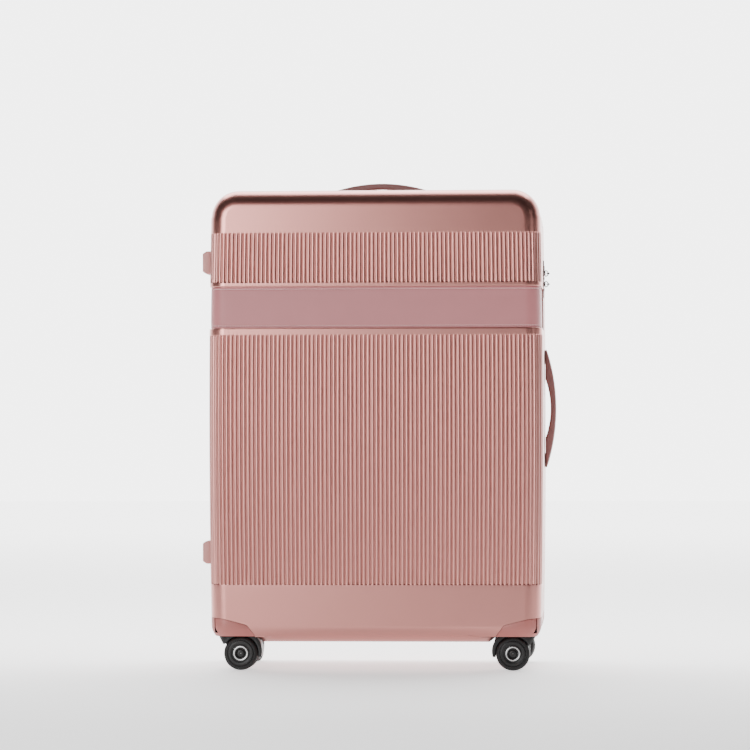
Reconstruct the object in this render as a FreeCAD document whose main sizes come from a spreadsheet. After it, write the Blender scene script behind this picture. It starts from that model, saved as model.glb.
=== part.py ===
import FreeCAD, Part
import math
import os
import Sketcher

# Hard shell suitcase on four twin-wheel casters. Millimetres, +Z up, origin on the
# floor under the middle of the case. The front half faces -Y, the hinge side is -X.

from FreeCAD import Placement, Rotation, Vector

doc = FreeCAD.newDocument("suitcase")

# ---------------------------------------------------------------- driving dimensions
DIMENSIONS = [
    # name, millimetres or degrees, meaning
    ("case_half_width", 257.0, "half width at the top and bottom corners"),
    ("case_top", 750.0, "height of the top face above the floor"),
    ("case_bottom", 45.5, "height of the belly above the floor"),
    ("case_half_depth", 155.0, "from the zip plane to each big face"),
    ("side_crown_radius", 15490.0, "radius of the gently crowned sides"),
    ("top_corner_radius", 43.0, "rounding of the two top corners"),
    ("bottom_corner_radius", 27.0, "rounding of the two bottom corners"),
    ("face_edge_radius", 26.0, "rounding round the front face"),
    ("rear_edge_radius", 20.0, "rounding round the back face"),
    ("wall", 3.0, "shell wall"),
    ("rim", 4.0, "from the zip plane to each shell's rim"),
    ("belly_half_width", 177.0, "half width of the low belly"),
    ("step_half_width", 188.0, "where the raised corners begin"),
    ("step_height", 54.5, "height of the raised corners' underside"),
    ("band_low", 534.0, "lower edge of the channel for the band"),
    ("band_high", 599.0, "upper edge of the channel for the band"),
    ("band_end", 18.0, "from the zip plane to the band's ends"),
    ("channel_depth", 3.6, "depth of the channel"),
    ("band_thickness", 1.4, "leather band"),
    ("housing_inner", 45.0, "from the zip plane to the wheel housings"),
    ("housing_wall", 4.5, "wheel housing wall"),
    ("zip_gap", 0.15, "from the zip plane to each half's coil"),
    ("zip_inset", 1.5, "zip tape behind the shell's surface"),
    ("zip_width", 5.5, "width of the zip tape"),
    ("lining_inset", 6.8, "lining behind the shell's surface"),
    ("lining_thickness", 1.0, "lining cloth"),
    ("lining_depth", 106.0, "from the zip plane to the rear lining's panel"),
    ("lining_step", 92.0, "height of the lining over the wheel housings"),
    ("caster_x", 228.0, "swivel axes from the middle, along the width"),
    ("caster_y", 100.0, "swivel axes from the middle, along the depth"),
    ("wheel_radius", 26.5, "wheels"),
    ("wheel_width", 17.0, "one wheel of a twin"),
    ("wheel_trail", 15.0, "from the swivel axis to the axle"),
    ("web_half_width", 4.3, "half thickness of the fork between the wheels"),
    ("tyre_inner_radius", 20.5, "tyre on its hub"),
    ("axle_radius", 3.0, "axle of a twin wheel"),
    ("swivel_radius", 5.0, "swivel pin"),
    ("running_gap", 0.06, "radial gap of a running fit"),
    ("clearance", 0.3, "gap between pieces that slide or sit side by side"),
    ("handle_y", 38.0, "carry handles behind the zip plane"),
    ("handle_length", 188.0, "carry handle, end to end"),
    ("handle_gap", 94.0, "finger gap under a carry handle, along it"),
    ("handle_width", 26.0, "carry handle, across"),
    ("handle_thickness", 8.7, "carry handle at its middle"),
    ("top_handle_rise", 22.0, "top handle above the case"),
    ("side_handle_rise", 18.0, "side handle beyond the case"),
    ("side_handle_height", 410.0, "middle of the side handle"),
    ("side_face_x", 261.2, "outermost face of the crowned side"),
    ("feet_reach", 11.0, "side feet beyond the case"),
    ("feet_length", 36.0, "side feet, up and down"),
    ("feet_depth", 42.0, "side feet, front to back"),
    ("feet_y", 104.0, "side feet from the zip plane"),
    ("feet_low", 184.5, "middle of the lower side feet"),
    ("feet_high", 638.5, "middle of the upper side feet"),
    ("lock_low", 586.0, "lock, lower end"),
    ("lock_high", 646.0, "lock, upper end"),
    ("lock_front", 8.0, "lock, from the zip plane"),
    ("lock_back", 34.0, "lock, far edge from the zip plane"),
    ("lock_face", 260.8, "face of the lock"),
    ("lock_inside", 247.0, "back of the lock"),
    ("dial_radius", 6.6, "number dials"),
    ("dial_width", 5.0, "number dials"),
    ("trolley_y", 122.0, "trolley tubes behind the zip plane"),
    ("trolley_x", 80.0, "trolley tubes from the middle"),
    ("tube_width", 22.0, "outer trolley tube, along the case"),
    ("tube_depth", 16.0, "outer trolley tube, front to back"),
    ("tube_wall", 1.2, "trolley tube wall"),
    ("tube_bottom", 66.0, "lower end of the outer trolley tubes"),
    ("bezel_top", 751.5, "rim of the trolley bezel"),
    ("bezel_floor", 728.0, "floor of the trolley bezel's tray"),
    ("grip_half_length", 91.0, "half of the trolley grip"),
    ("grip_top", 753.0, "top of the trolley grip"),
]

sheet = doc.addObject("Spreadsheet::Sheet", "Dims")
for row, (alias, value, meaning) in enumerate(DIMENSIONS, start=1):
    sheet.set(f"A{row}", meaning)
    sheet.set(f"B{row}", str(value))
    sheet.setAlias(f"B{row}", alias)
doc.recompute()


def formula(size):
    """The text that binds a size: its own formula, or the plain number."""
    return size.formula if isinstance(size, Size) else repr(float(size))


class Size(float):
    """A number read from the sheet that remembers its formula through arithmetic."""

    def __new__(cls, value, text):
        size = super().__new__(cls, value)
        size.formula = text
        return size

    def __add__(self, other):
        return Size(float(self) + float(other), f"({self.formula} + {formula(other)})")

    def __radd__(self, other):
        return Size(float(other) + float(self), f"({formula(other)} + {self.formula})")

    def __sub__(self, other):
        return Size(float(self) - float(other), f"({self.formula} - {formula(other)})")

    def __rsub__(self, other):
        return Size(float(other) - float(self), f"({formula(other)} - {self.formula})")

    def __mul__(self, other):
        return Size(float(self) * float(other), f"({self.formula} * {formula(other)})")

    __rmul__ = __mul__

    def __truediv__(self, other):
        return Size(float(self) / float(other), f"({self.formula} / {formula(other)})")

    def __neg__(self):
        return Size(-float(self), f"(0 - {self.formula})")


class Dimensions:
    """Every dimension of the sheet by its name."""


D = Dimensions()
for alias, _value, _meaning in DIMENSIONS:
    setattr(D, alias, Size(sheet.get(alias), f"Dims.{alias}"))

PIECES = []


def piece(shape_object, name):
    """Names a finished sub-part and puts it on the list of files to write."""
    shape_object.Label = name
    PIECES.append(shape_object)
    return shape_object


def place(thing, base, rotation=Rotation()):
    """Turns an object and binds its place to the sheet."""
    thing.Placement = Placement(Vector(*[float(c) for c in base]), rotation)
    for letter, size in zip("xyz", base):
        if isinstance(size, Size):
            thing.setExpression(f"Placement.Base.{letter}", formula(size))
    return thing


def bind(thing, **sizes):
    """Sets properties, and binds those that come from the sheet."""
    for prop, size in sizes.items():
        setattr(thing, prop, float(size))
        if isinstance(size, Size):
            thing.setExpression(prop, formula(size))
    return thing


# ---------------------------------------------------------------- solids and booleans
def box(name, low, high):
    """A block between two corners."""
    block = doc.addObject("Part::Box", name)
    length, width, height = [b - a for a, b in zip(low, high)]
    bind(block, Length=length, Width=width, Height=height)
    return place(block, low)


AXIS_TURN = {
    "x": Rotation(Vector(0, 1, 0), 90),
    "y": Rotation(Vector(1, 0, 0), -90),
    "z": Rotation(),
}


def cylinder(name, axis, base, radius, length):
    """A round bar from its base along +x, +y or +z."""
    bar = doc.addObject("Part::Cylinder", name)
    bind(bar, Radius=radius, Height=length)
    return place(bar, base, AXIS_TURN[axis])


def fuse(name, *things):
    """One solid from overlapping solids."""
    union = doc.addObject("Part::MultiFuse", name)
    union.Shapes = list(things)
    return union


def common(name, *things):
    """What the solids share."""
    shared = doc.addObject("Part::MultiCommon", name)
    shared.Shapes = list(things)
    return shared


def cut(name, base, *tools):
    """The base less every tool."""
    result = doc.addObject("Part::Cut", name)
    result.Base = base
    result.Tool = tools[0] if len(tools) == 1 else fuse(f"{name}_tools", *tools)
    return result


def group(name, *things):
    """Separate solids kept together as one sub-part."""
    together = doc.addObject("Part::Compound", name)
    together.Links = list(things)
    return together


def outline(sketch, points, arcs=None):
    """Draws a closed loop in a sketch. Each corner is bound to the sheet. arcs gives the
    radius of the edges that are arcs, positive where the arc bulges to the right of the
    way the loop runs."""
    arcs = arcs or {}
    count = len(points)
    ends = []
    for i in range(count):
        a = Vector(float(points[i][0]), float(points[i][1]), 0)
        b = Vector(float(points[(i + 1) % count][0]), float(points[(i + 1) % count][1]), 0)
        if i not in arcs:
            edge = sketch.addGeometry(Part.LineSegment(a, b))
            ends.append((edge, 1, 2))
            continue
        radius = abs(float(arcs[i]))
        chord = b - a
        rise = radius - math.sqrt(radius * radius - chord.Length ** 2 / 4)
        bulge = Vector(chord.y, -chord.x, 0).normalize() * math.copysign(rise, float(arcs[i]))
        edge = sketch.addGeometry(Part.Arc(a, (a + b) * 0.5 + bulge, b))
        forward = (sketch.getPoint(edge, 1) - a).Length < (sketch.getPoint(edge, 2) - a).Length
        ends.append((edge, 1, 2) if forward else (edge, 2, 1))
        limit = sketch.addConstraint(Sketcher.Constraint("Radius", edge, radius))
        if isinstance(arcs[i], Size) and float(arcs[i]) > 0:
            sketch.setExpression(f"Constraints[{limit}]", formula(arcs[i]))
    for i in range(count):
        edge, _start, end = ends[i]
        after, start, _end = ends[(i + 1) % count]
        sketch.addConstraint(Sketcher.Constraint("Coincident", edge, end, after, start))
    for (edge, start, _end), (x, y) in zip(ends, points):
        for kind, size in (("DistanceX", x), ("DistanceY", y)):
            limit = sketch.addConstraint(
                Sketcher.Constraint(kind, -1, 1, edge, start, float(size)))
            if isinstance(size, Size):
                sketch.setExpression(f"Constraints[{limit}]", formula(size))


SKETCH_TURN = {
    "xz": Rotation(Vector(1, 0, 0), 90),     # the sketch's normal is -Y
    "xy": Rotation(),                        # the sketch's normal is +Z
    "yz": Rotation(Vector(1, 1, 1), 120),    # the sketch's normal is +X
}


def prism(name, plane, start, length, points, arcs=None):
    """An outline in a plane, moved to start along that plane's normal and drawn out."""
    sketch = doc.addObject("Sketcher::SketchObject", f"{name}_sketch")
    outline(sketch, points, arcs)
    bases = {"xz": (0, -start, 0), "xy": (0, 0, start), "yz": (start, 0, 0)}
    place(sketch, bases[plane], SKETCH_TURN[plane])
    body = doc.addObject("Part::Extrusion", name)
    body.Base = sketch
    body.DirMode = "Normal"
    body.Solid = True
    return bind(body, LengthFwd=length)


def rounded(name, base, radius, wanted):
    """Rounds the edges of an object that a test picks."""
    doc.recompute()
    edges = [i for i, edge in enumerate(base.Shape.Edges, start=1) if wanted(edge)]
    result = doc.addObject("Part::Fillet", name)
    result.Base = base
    result.Edges = [(i, float(radius), float(radius)) for i in edges]
    return result


# ---------------------------------------------------------------- the case's envelope
def envelope(name, half, inset, start, end, face_radius=None, step=None):
    """One half of the case's outer form, drawn in by inset, from start to end behind the
    zip plane. It is a padded sketch, its corners and its big face's edge are
    rounded, and the underside is raised at both corners."""
    body = doc.addObject("PartDesign::Body", name)
    plane = [f for f in body.Origin.OriginFeatures if f.Role == "XZ_Plane"][0]
    sign = 1 if half == "front" else -1

    def sketch_on_plane(label, offset):
        sketch = body.newObject("Sketcher::SketchObject", f"{name}_{label}")
        sketch.AttachmentSupport = (plane, "")
        sketch.MapMode = "FlatFace"
        sketch.AttachmentOffset = Placement(Vector(0, 0, sign * float(offset)), Rotation())
        if isinstance(offset, Size):
            sketch.setExpression("AttachmentOffset.Base.z", formula(offset * sign))
        return sketch

    half_width = D.case_half_width - inset
    low = D.case_bottom + inset
    high = D.case_top - inset
    crown = D.side_crown_radius - inset
    profile = sketch_on_plane("profile", start)
    outline(profile, [(-half_width, low), (half_width, low), (half_width, high), (-half_width, high)],
            {1: crown, 3: crown})
    pad = body.newObject("PartDesign::Pad", f"{name}_pad")
    pad.Profile = profile
    pad.Reversed = half == "rear"
    bind(pad, Length=end - start)
    doc.recompute()

    def fillet(label, base, radius, wanted):
        edges = [f"Edge{i}" for i, edge in enumerate(base.Shape.Edges, start=1) if wanted(edge)]
        feature = body.newObject("PartDesign::Fillet", f"{name}_{label}")
        feature.Base = (base, edges)
        bind(feature, Radius=radius)
        doc.recompute()
        return feature

    def corner(upper):
        def wanted(edge):
            bounds = edge.BoundBox
            return bounds.YLength > 0.5 * float(end - start) and (bounds.Center.z > 400) == upper
        return wanted

    def on_face(edge):
        bounds = edge.BoundBox
        return bounds.YLength < 0.01 and abs(abs(bounds.Center.y) - float(end)) < 0.01

    tip = fillet("top_corners", pad, D.top_corner_radius - inset, corner(True))
    tip = fillet("bottom_corners", tip, D.bottom_corner_radius - inset, corner(False))
    if face_radius is not None:
        tip = fillet("face_edge", tip, face_radius, on_face)
    belly, raised, height = step or (D.belly_half_width - inset, D.step_half_width - inset * 0.6,
                                     D.step_height + inset)
    below, beyond = D.case_bottom - 20.0, D.case_half_width + 40.0
    notch = sketch_on_plane("corner_steps", 0)
    outline(notch, [(belly, below), (beyond, below), (beyond, height), (raised, height), (belly, low)])
    outline(notch, [(-belly, below), (-belly, low), (-raised, height), (-beyond, height), (-beyond, below)])
    before = tip.Shape.Volume
    pocket = body.newObject("PartDesign::Pocket", f"{name}_raised_corners")
    pocket.Profile = notch
    pocket.Type = "ThroughAll"
    pocket.SideType = "Symmetric"
    body.Tip = pocket
    doc.recompute()
    assert pocket.Shape.Volume < before, f"{name}: the pocket cuts nothing"
    return body


def corner_prism(name, side, half, gap=0.0):
    """The region that a wheel housing fills at one lower corner of one half. Its upper edge is
    the seam that the shell shows."""
    outer = D.case_half_width + 30.0
    seam = [(D.step_half_width, D.step_height + 1.5), (200.0, 72.0), (217.0, 76.5), (236.0, 81.5),
            (262.0, 84.0), (outer, 86.0)]
    points = [(D.step_half_width + gap, D.case_bottom - 5.0)]
    points += [(x + gap * 0.7, z - gap) for x, z in seam] + [(outer, D.case_bottom - 5.0)]
    points = [(x * side, z) for x, z in points]
    far = D.case_half_depth + 10.0
    near = D.housing_inner + gap
    start = near if half == "front" else -far
    return prism(name, "xz", start, far - near, points)


HALVES = {"front": -1, "rear": 1}
SIDES = {"left": -1, "right": 1}
SCREW_RADIUS = 1.6
SCREW_HEAD_RADIUS = 3.3
SCREW_SOCKET_RADIUS = 1.4
BOSS_WALL = 5.0


def housing(half, side):
    """A plastic wheel housing: flush with the shell, open inside, with a boss for the swivel
    pin and countersunk holes for its screws."""
    name = f"wheel_housing_{half}_{side}"
    outside = envelope(f"{name}_form", half, 0.0, D.rim, D.case_half_depth,
                       D.face_edge_radius if half == "front" else D.rear_edge_radius)
    corner = corner_prism(f"{name}_corner", SIDES[side], half, 0.2)
    sx, sy = SIDES[side], HALVES[half]
    wall = D.housing_wall
    inner_x = sorted([sx * (D.step_half_width + wall), sx * (D.case_half_width - wall - 1.5)])
    inner_y = sorted([sy * (D.housing_inner + wall), sy * (D.case_half_depth - wall - 3.0)])
    floor = D.step_height + wall + 1.0
    hollow = box(f"{name}_hollow", (inner_x[0], inner_y[0], floor), (inner_x[1], inner_y[1], floor + 60.0))
    shell = cut(f"{name}_skin", common(f"{name}_solid", outside, corner), hollow)
    x, y = sx * D.caster_x, sy * D.caster_y
    boss = cylinder(f"{name}_boss", "z", (x, y, floor - 1.0), D.swivel_radius + BOSS_WALL, 5.0)
    bore = cylinder(f"{name}_bore", "z", (x, y, D.step_height - 5.0), D.swivel_radius + D.running_gap, 30.0)
    tools = [bore]
    for i, (screw_x, screw_y) in enumerate(screw_places(sx, sy)):
        foot = (screw_x, screw_y, D.step_height - 5.0)
        tools.append(cylinder(f"{name}_screw_hole_{i}", "z", foot, SCREW_RADIUS + 0.05, 30.0))
        tools.append(cylinder(f"{name}_screw_sink_{i}", "z", foot, SCREW_HEAD_RADIUS + 0.15, 7.2))
    return piece(cut(name, fuse(f"{name}_body", shell, boss), *tools), name)


def screw_places(sx, sy):
    """Four screws round a housing's swivel pin."""
    return [(sx * (D.caster_x + along), sy * (D.caster_y + across))
            for along in (-30.0, 16.0) for across in (-38.0, 32.0)]


def housing_screws(half):
    """The countersunk screws that hold a half's wheel housings."""
    screws = []
    for side, sx in SIDES.items():
        for i, (x, y) in enumerate(screw_places(sx, HALVES[half])):
            label = f"{half}_{side}_screw_{i}"
            head = cylinder(f"{label}_head", "z", (x, y, D.step_height + 0.4), SCREW_HEAD_RADIUS, 1.7)
            socket = cylinder(f"{label}_socket", "z", (x, y, D.step_height + 0.3),
                              SCREW_SOCKET_RADIUS, 0.9)
            shank = cylinder(f"{label}_shank", "z", (x, y, D.step_height + 1.8), SCREW_RADIUS, 8.0)
            screws.append(cut(label, fuse(f"{label}_solid", head, shank), socket))
    return piece(group(f"{half}_housing_screws", *screws), f"{half}_housing_screws")


def zip_half(half):
    """One half's zip tape and coil, a ring behind the shell's rim."""
    outer = envelope(f"{half}_zip_outer", half, D.zip_inset, D.zip_gap, D.rim - 0.1)
    inner = envelope(f"{half}_zip_inner", half, D.zip_inset + D.zip_width, D.zip_gap - 1.0, D.rim + 1.0)
    return piece(cut(f"{half}_zip", outer, inner), f"{half}_zip")


def handle_windows(name, deep):
    """Where the cups of both carry handles pass through a wall or the lining."""
    half_u, half_v = 8.3, 12.3
    windows = []
    for i, end in enumerate((-1, 1)):
        u = end * (D.handle_length / 2 - 12.0)
        windows.append(box(f"{name}_top_{i}", (u - half_u, D.handle_y - half_v, D.case_top - deep),
                           (u + half_u, D.handle_y + half_v, D.case_top + 5.0)))
        z = D.side_handle_height + u
        windows.append(box(f"{name}_side_{i}", (D.side_face_x - deep, D.handle_y - half_v, z - half_u),
                           (D.side_face_x + 5.0, D.handle_y + half_v, z + half_u)))
    return windows


def lock_window(name, gap):
    """Where the lock passes through the wall and the lining."""
    return box(name, (D.lock_inside - 10.0, D.lock_front - gap, D.lock_low - gap),
               (D.side_face_x + 5.0, D.lock_back + gap, D.lock_high + gap))


def front_half():
    """Front shell with its channel, the leather band, lining and zip half."""
    radius = D.face_edge_radius
    depth = D.case_half_depth

    def form(label, inset):
        start = D.rim if label in ("outer", "band_outer") else D.rim - 1.0
        return envelope(f"front_{label}", "front", inset, start, depth - inset, radius - inset)

    outer = form("outer", 0.0)
    inner = form("inner", D.wall)
    channel_floor = form("channel_floor", D.channel_depth)
    channel_back = form("channel_back", D.channel_depth + D.wall)
    band_outer = form("band_outer", D.channel_depth - D.band_thickness - 0.05)
    band_inner = form("band_inner", D.channel_depth - 0.05)
    far_x, far_y = D.case_half_width + 20.0, D.case_half_depth + 20.0

    def slab(label, grow, near):
        return box(f"front_{label}", (-far_x, -far_y, D.band_low - grow), (far_x, -near, D.band_high + grow))

    backing = common("front_backing", cut("front_backing_ring", inner, channel_back),
                     slab("backing_slab", D.wall, D.rim))
    channel = cut("front_channel", slab("channel_slab", 0.0, D.band_end), channel_floor)
    wall = fuse("front_wall", cut("front_skin", outer, inner), backing)
    corners = [corner_prism(f"front_corner_{side}", sx, "front") for side, sx in SIDES.items()]
    piece(cut("front_shell", wall, channel, *corners), "front_shell")
    band_slab = slab("band_slab", -0.4, D.band_end + 0.4)
    piece(common("leather_band", cut("band_ring", band_outer, band_inner), band_slab), "leather_band")
    lining("front", depth - D.lining_inset, radius - D.lining_inset, [])
    zip_half("front")


def lining(half, depth, radius, tools):
    """The cloth lining of a half: a thin open box that steps over the wheel housings."""
    step_outer = (D.belly_half_width - 8.0, D.belly_half_width - 4.0, D.lining_step)
    thick = D.lining_thickness
    step_inner = (D.belly_half_width - 8.0 - thick, D.belly_half_width - 4.0 - thick, D.lining_step + thick)
    outer = envelope(f"{half}_lining_outer", half, D.lining_inset, D.rim + 1.0, depth, radius, step_outer)
    inner = envelope(f"{half}_lining_inner", half, D.lining_inset + thick, D.rim, depth - thick,
                     radius - thick, step_inner)
    return piece(cut(f"{half}_lining", outer, inner, *tools), f"{half}_lining")


def rear_half():
    """Rear shell with its openings, lining and zip half."""
    radius = D.rear_edge_radius
    depth = D.case_half_depth
    outer = envelope("rear_outer", "rear", 0.0, D.rim, depth, radius)
    inner = envelope("rear_inner", "rear", D.wall, D.rim - 1.0, depth - D.wall, radius - D.wall)
    corners = [corner_prism(f"rear_corner_{side}", sx, "rear") for side, sx in SIDES.items()]
    tray = box("rear_bezel_hole", (-(D.grip_half_length + 9.0), D.trolley_y - 14.0, D.case_top - 20.0),
               (D.grip_half_length + 9.0, D.trolley_y + 14.0, D.case_top + 10.0))
    piece(cut("rear_shell", cut("rear_skin", outer, inner), tray, lock_window("rear_lock_hole", 0.2),
              *corners, *handle_windows("rear_handle_hole", 12.0)), "rear_shell")
    windows = handle_windows("rear_lining_window", 30.0) + [lock_window("rear_lining_lock", 3.0)]
    lining("rear", D.lining_depth, 8.0, windows)
    zip_half("rear")
    straps = []
    for i, lean in enumerate((-1, 1)):
        strap = box(f"packing_strap_{i}", (-290.0, 0.0, -12.5), (290.0, 1.4, 12.5))
        place(strap, (-lean * 290.0 * math.cos(math.radians(48.0)), D.lock_front + 2.0 + 2.0 * i,
                      D.case_top / 2 + 30.0 - 290.0 * math.sin(math.radians(48.0))),
              Rotation(Vector(0, 1, 0), -48.0 if lean > 0 else -132.0))
        straps.append(strap)
    buckle = box("packing_buckle", (-30.0, D.lock_front + 0.5, D.case_top / 2 + 10.0),
                 (30.0, D.lock_front + 7.5, D.case_top / 2 + 50.0))
    piece(fuse("packing_straps", *straps, buckle), "packing_straps")


# ---------------------------------------------------------------- feet and carry handles
def side_feet(half):
    """Two feet on the hinge side of a half, which the case rests on when it lies down. Their
    ends are chamfered."""
    feet = []
    y = HALVES[half] * D.feet_y
    for label, height in (("low", D.feet_low), ("high", D.feet_high)):
        root = -(D.side_face_x - 3.6)
        tip = -(D.side_face_x + D.feet_reach)
        half_length = D.feet_length / 2
        points = [(root, height - half_length), (root, height + half_length),
                  (tip + 6.0, height + half_length), (tip, height + half_length - 4.0),
                  (tip, height - half_length + 4.0), (tip + 6.0, height - half_length)]
        start = -y - D.feet_depth / 2
        solid = prism(f"{half}_foot_{label}", "xz", start, D.feet_depth, points)
        feet.append(rounded(f"{half}_foot_{label}_soft", solid, 2.5,
                            lambda e: e.BoundBox.YLength < 0.1 and e.BoundBox.Center.x < float(root) - 1.0))
    form = envelope(f"{half}_feet_form", half, -0.05, D.rim, D.case_half_depth)
    return piece(cut(f"{half}_side_feet", group(f"{half}_feet_blocks", *feet), form), f"{half}_side_feet")


def carry_handle(name, base, turn, rise, surface):
    """A carry handle drawn lying along its own x axis with z outwards: a bowed grip whose legs
    slide in the mounts' cups, so that the hand can pull it out."""
    half = D.handle_length / 2
    gap = D.handle_gap / 2
    rest = surface + 0.9
    inner = rise - D.handle_thickness

    def bow(half_chord, height):
        return (half_chord * half_chord + height * height) / (2.0 * height)

    shoulder = rest + 2.0
    outer_radius = bow(half, rise - shoulder)
    inner_radius = bow(gap, inner - rest)
    points = [(-half, rest), (-gap, rest), (gap, rest), (half, rest), (half, shoulder), (-half, shoulder)]
    grip = prism(f"{name}_grip", "xz", -D.handle_width / 2, D.handle_width, points,
                 {1: -inner_radius, 4: outer_radius})
    legs = []
    for i, end in enumerate((-1, 1)):
        u = end * (half - 12.0)
        legs.append(box(f"{name}_leg_{i}", (u - 4.5, -8.5, -16.0), (u + 4.5, 8.5, rest + 1.5)))
    return piece(place(fuse(name, grip, *legs), base, turn), name)


def handle_mounts(name, base, turn, surface):
    """The two end plates of a carry handle with the cups that guide its legs."""
    half = D.handle_length / 2
    mounts = []
    for i, end in enumerate((-1, 1)):
        u = end * (half - 12.0)
        cup = box(f"{name}_cup_{i}", (u - 8.0, -12.0, -20.0), (u + 8.0, 12.0, surface + 0.5))
        plate = box(f"{name}_plate_{i}", (u - 11.0, -14.0, surface - 0.3), (u + 11.0, 14.0, surface + 0.6))
        slot = box(f"{name}_slot_{i}", (u - 4.8, -8.8, -18.0), (u + 4.8, 8.8, surface + 10.0))
        mounts.append(cut(f"{name}_{i}", fuse(f"{name}_solid_{i}", cup, plate), slot))
    return piece(place(group(name, *mounts), base, turn), name)


def handles():
    """Top and side carry handles, each with its plates standing on the shell's surface."""
    top = (0.0, D.handle_y, D.case_top)
    side = (D.side_face_x, D.handle_y, D.side_handle_height)
    upright = Rotation(Vector(0, 1, 0), 90)
    carry_handle("top_handle", top, Rotation(), D.top_handle_rise, 0.3)
    handle_mounts("top_handle_mounts", top, Rotation(), 0.3)
    carry_handle("side_handle", side, upright, D.side_handle_rise, 0.2)
    handle_mounts("side_handle_mounts", side, upright, 0.2)


# ---------------------------------------------------------------- lock and zip sliders
DIAL_PLACES = (600.0, 609.0, 618.0)
BUTTON_LOW, BUTTON_HIGH = 628.0, 638.0


def lock():
    """A three-dial lock in the rear half's side: body with a spindle, dials and release button."""
    middle = (D.lock_front + D.lock_back) / 2
    spindle_x = D.lock_face + 0.9 - D.dial_radius
    block = box("lock_block", (D.lock_inside, D.lock_front, D.lock_low),
                (D.lock_face, D.lock_back, D.lock_high))
    pockets = []
    for i, z in enumerate(DIAL_PLACES):
        reach = D.dial_radius + 0.5
        low = z - D.dial_width / 2 - 0.3
        pockets.append(cylinder(f"dial_pocket_{i}", "z", (spindle_x, middle, low), reach, D.dial_width + 0.6))
        rim = cylinder(f"dial_{i}_rim", "z", (spindle_x, middle, z - D.dial_width / 2), D.dial_radius,
                       D.dial_width)
        hole = cylinder(f"dial_{i}_hole", "z", (spindle_x, middle, z - 10.0), 1.26, 20.0)
        piece(cut(f"lock_dial_{i + 1}", rim, hole), f"lock_dial_{i + 1}")
    pockets.append(box("button_pocket", (D.lock_face - 6.0, middle - 6.2, BUTTON_LOW - 0.2),
                       (D.lock_face + 5.0, middle + 6.2, BUTTON_HIGH + 0.2)))
    spindle = cylinder("dial_spindle", "z", (spindle_x, middle, DIAL_PLACES[0] - 6.0), 1.2, 30.0)
    piece(fuse("lock_body", cut("lock_case", block, *pockets), spindle), "lock_body")
    button = box("lock_button_block", (D.lock_face - 3.6, middle - 6.0, BUTTON_LOW),
                 (D.lock_face + 1.0, middle + 6.0, BUTTON_HIGH))
    soft = rounded("lock_button", button, 1.0, lambda e: e.BoundBox.XLength > 3.0)
    piece(soft, "lock_button")


SLIDERS = {"upper": (621.0, 1), "lower": (612.0, -1)}
SLIDER_LENGTH = 8.0
BAIL_RADIUS = 5.3
BAIL_WIRE = 1.4


def zip_slider(label):
    """A zip slider and its pull. The two sliders meet nose to nose beside the lock. The pull's
    eye hangs on the slider's D-shaped bail, and its tab lies towards the lock."""
    meeting, way = SLIDERS[label]
    inner = D.side_face_x + 0.1
    face = inner + 2.0
    z0, z1 = sorted((meeting, meeting + way * SLIDER_LENGTH))
    block = box(f"{label}_slider_block", (inner, -5.5, z0), (face, 5.5, z1))
    soft = rounded(f"{label}_slider_soft", block, 0.8, lambda e: e.BoundBox.YLength > 5.0)
    pivot_z = meeting + way * 4.0
    bail_x = face - 0.5
    ring = cylinder(f"{label}_bail_ring", "y", (bail_x, -1.1, pivot_z), BAIL_RADIUS, 2.2)
    ring_hole = cylinder(f"{label}_bail_hole", "y", (bail_x, -3.0, pivot_z), BAIL_RADIUS - BAIL_WIRE, 6.0)
    outside = box(f"{label}_bail_side", (bail_x, -3.0, pivot_z - 8.0), (bail_x + 8.0, 3.0, pivot_z + 8.0))
    bail = common(f"{label}_bail", cut(f"{label}_bail_loop", ring, ring_hole), outside)
    piece(fuse(f"zip_slider_{label}", soft, bail), f"zip_slider_{label}")
    pivot_x = bail_x + BAIL_RADIUS - BAIL_WIRE / 2
    eye = cylinder(f"{label}_eye", "z", (pivot_x, 0.0, pivot_z - 0.9), 2.6, 1.8)
    tab = box(f"{label}_tab", (pivot_x - 0.7, 2.0, pivot_z - 2.4), (pivot_x + 0.7, 12.5, pivot_z + 2.4))
    eye_hole = cylinder(f"{label}_eye_hole", "z", (pivot_x, 0.0, pivot_z - 3.0), 1.55, 6.0)
    slot = box(f"{label}_tab_slot", (pivot_x - 2.0, 7.0, pivot_z - 1.1), (pivot_x + 2.0, 10.5, pivot_z + 1.1))
    pull = fuse(f"{label}_pull_solid", eye, tab)
    piece(cut(f"zip_pull_{label}", pull, eye_hole, slot), f"zip_pull_{label}")


# ---------------------------------------------------------------- telescopic trolley
def tube_pair(name, width, depth, low, high, wall):
    """The left and right tubes of one stage."""
    tubes = []
    for i, side in enumerate((-1, 1)):
        x = side * D.trolley_x
        outer = box(f"{name}_outer_{i}", (x - width / 2, D.trolley_y - depth / 2, low),
                    (x + width / 2, D.trolley_y + depth / 2, high))
        soft = rounded(f"{name}_soft_{i}", outer, 2.5, lambda e: e.BoundBox.ZLength > 50.0)
        if wall is None:
            tubes.append(soft)
            continue
        bore = box(f"{name}_bore_{i}", (x - width / 2 + wall, D.trolley_y - depth / 2 + wall, low - 5.0),
                   (x + width / 2 - wall, D.trolley_y + depth / 2 - wall, high + 5.0))
        tubes.append(cut(f"{name}_{i}", soft, bore))
    return piece(group(name, *tubes), name)


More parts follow.
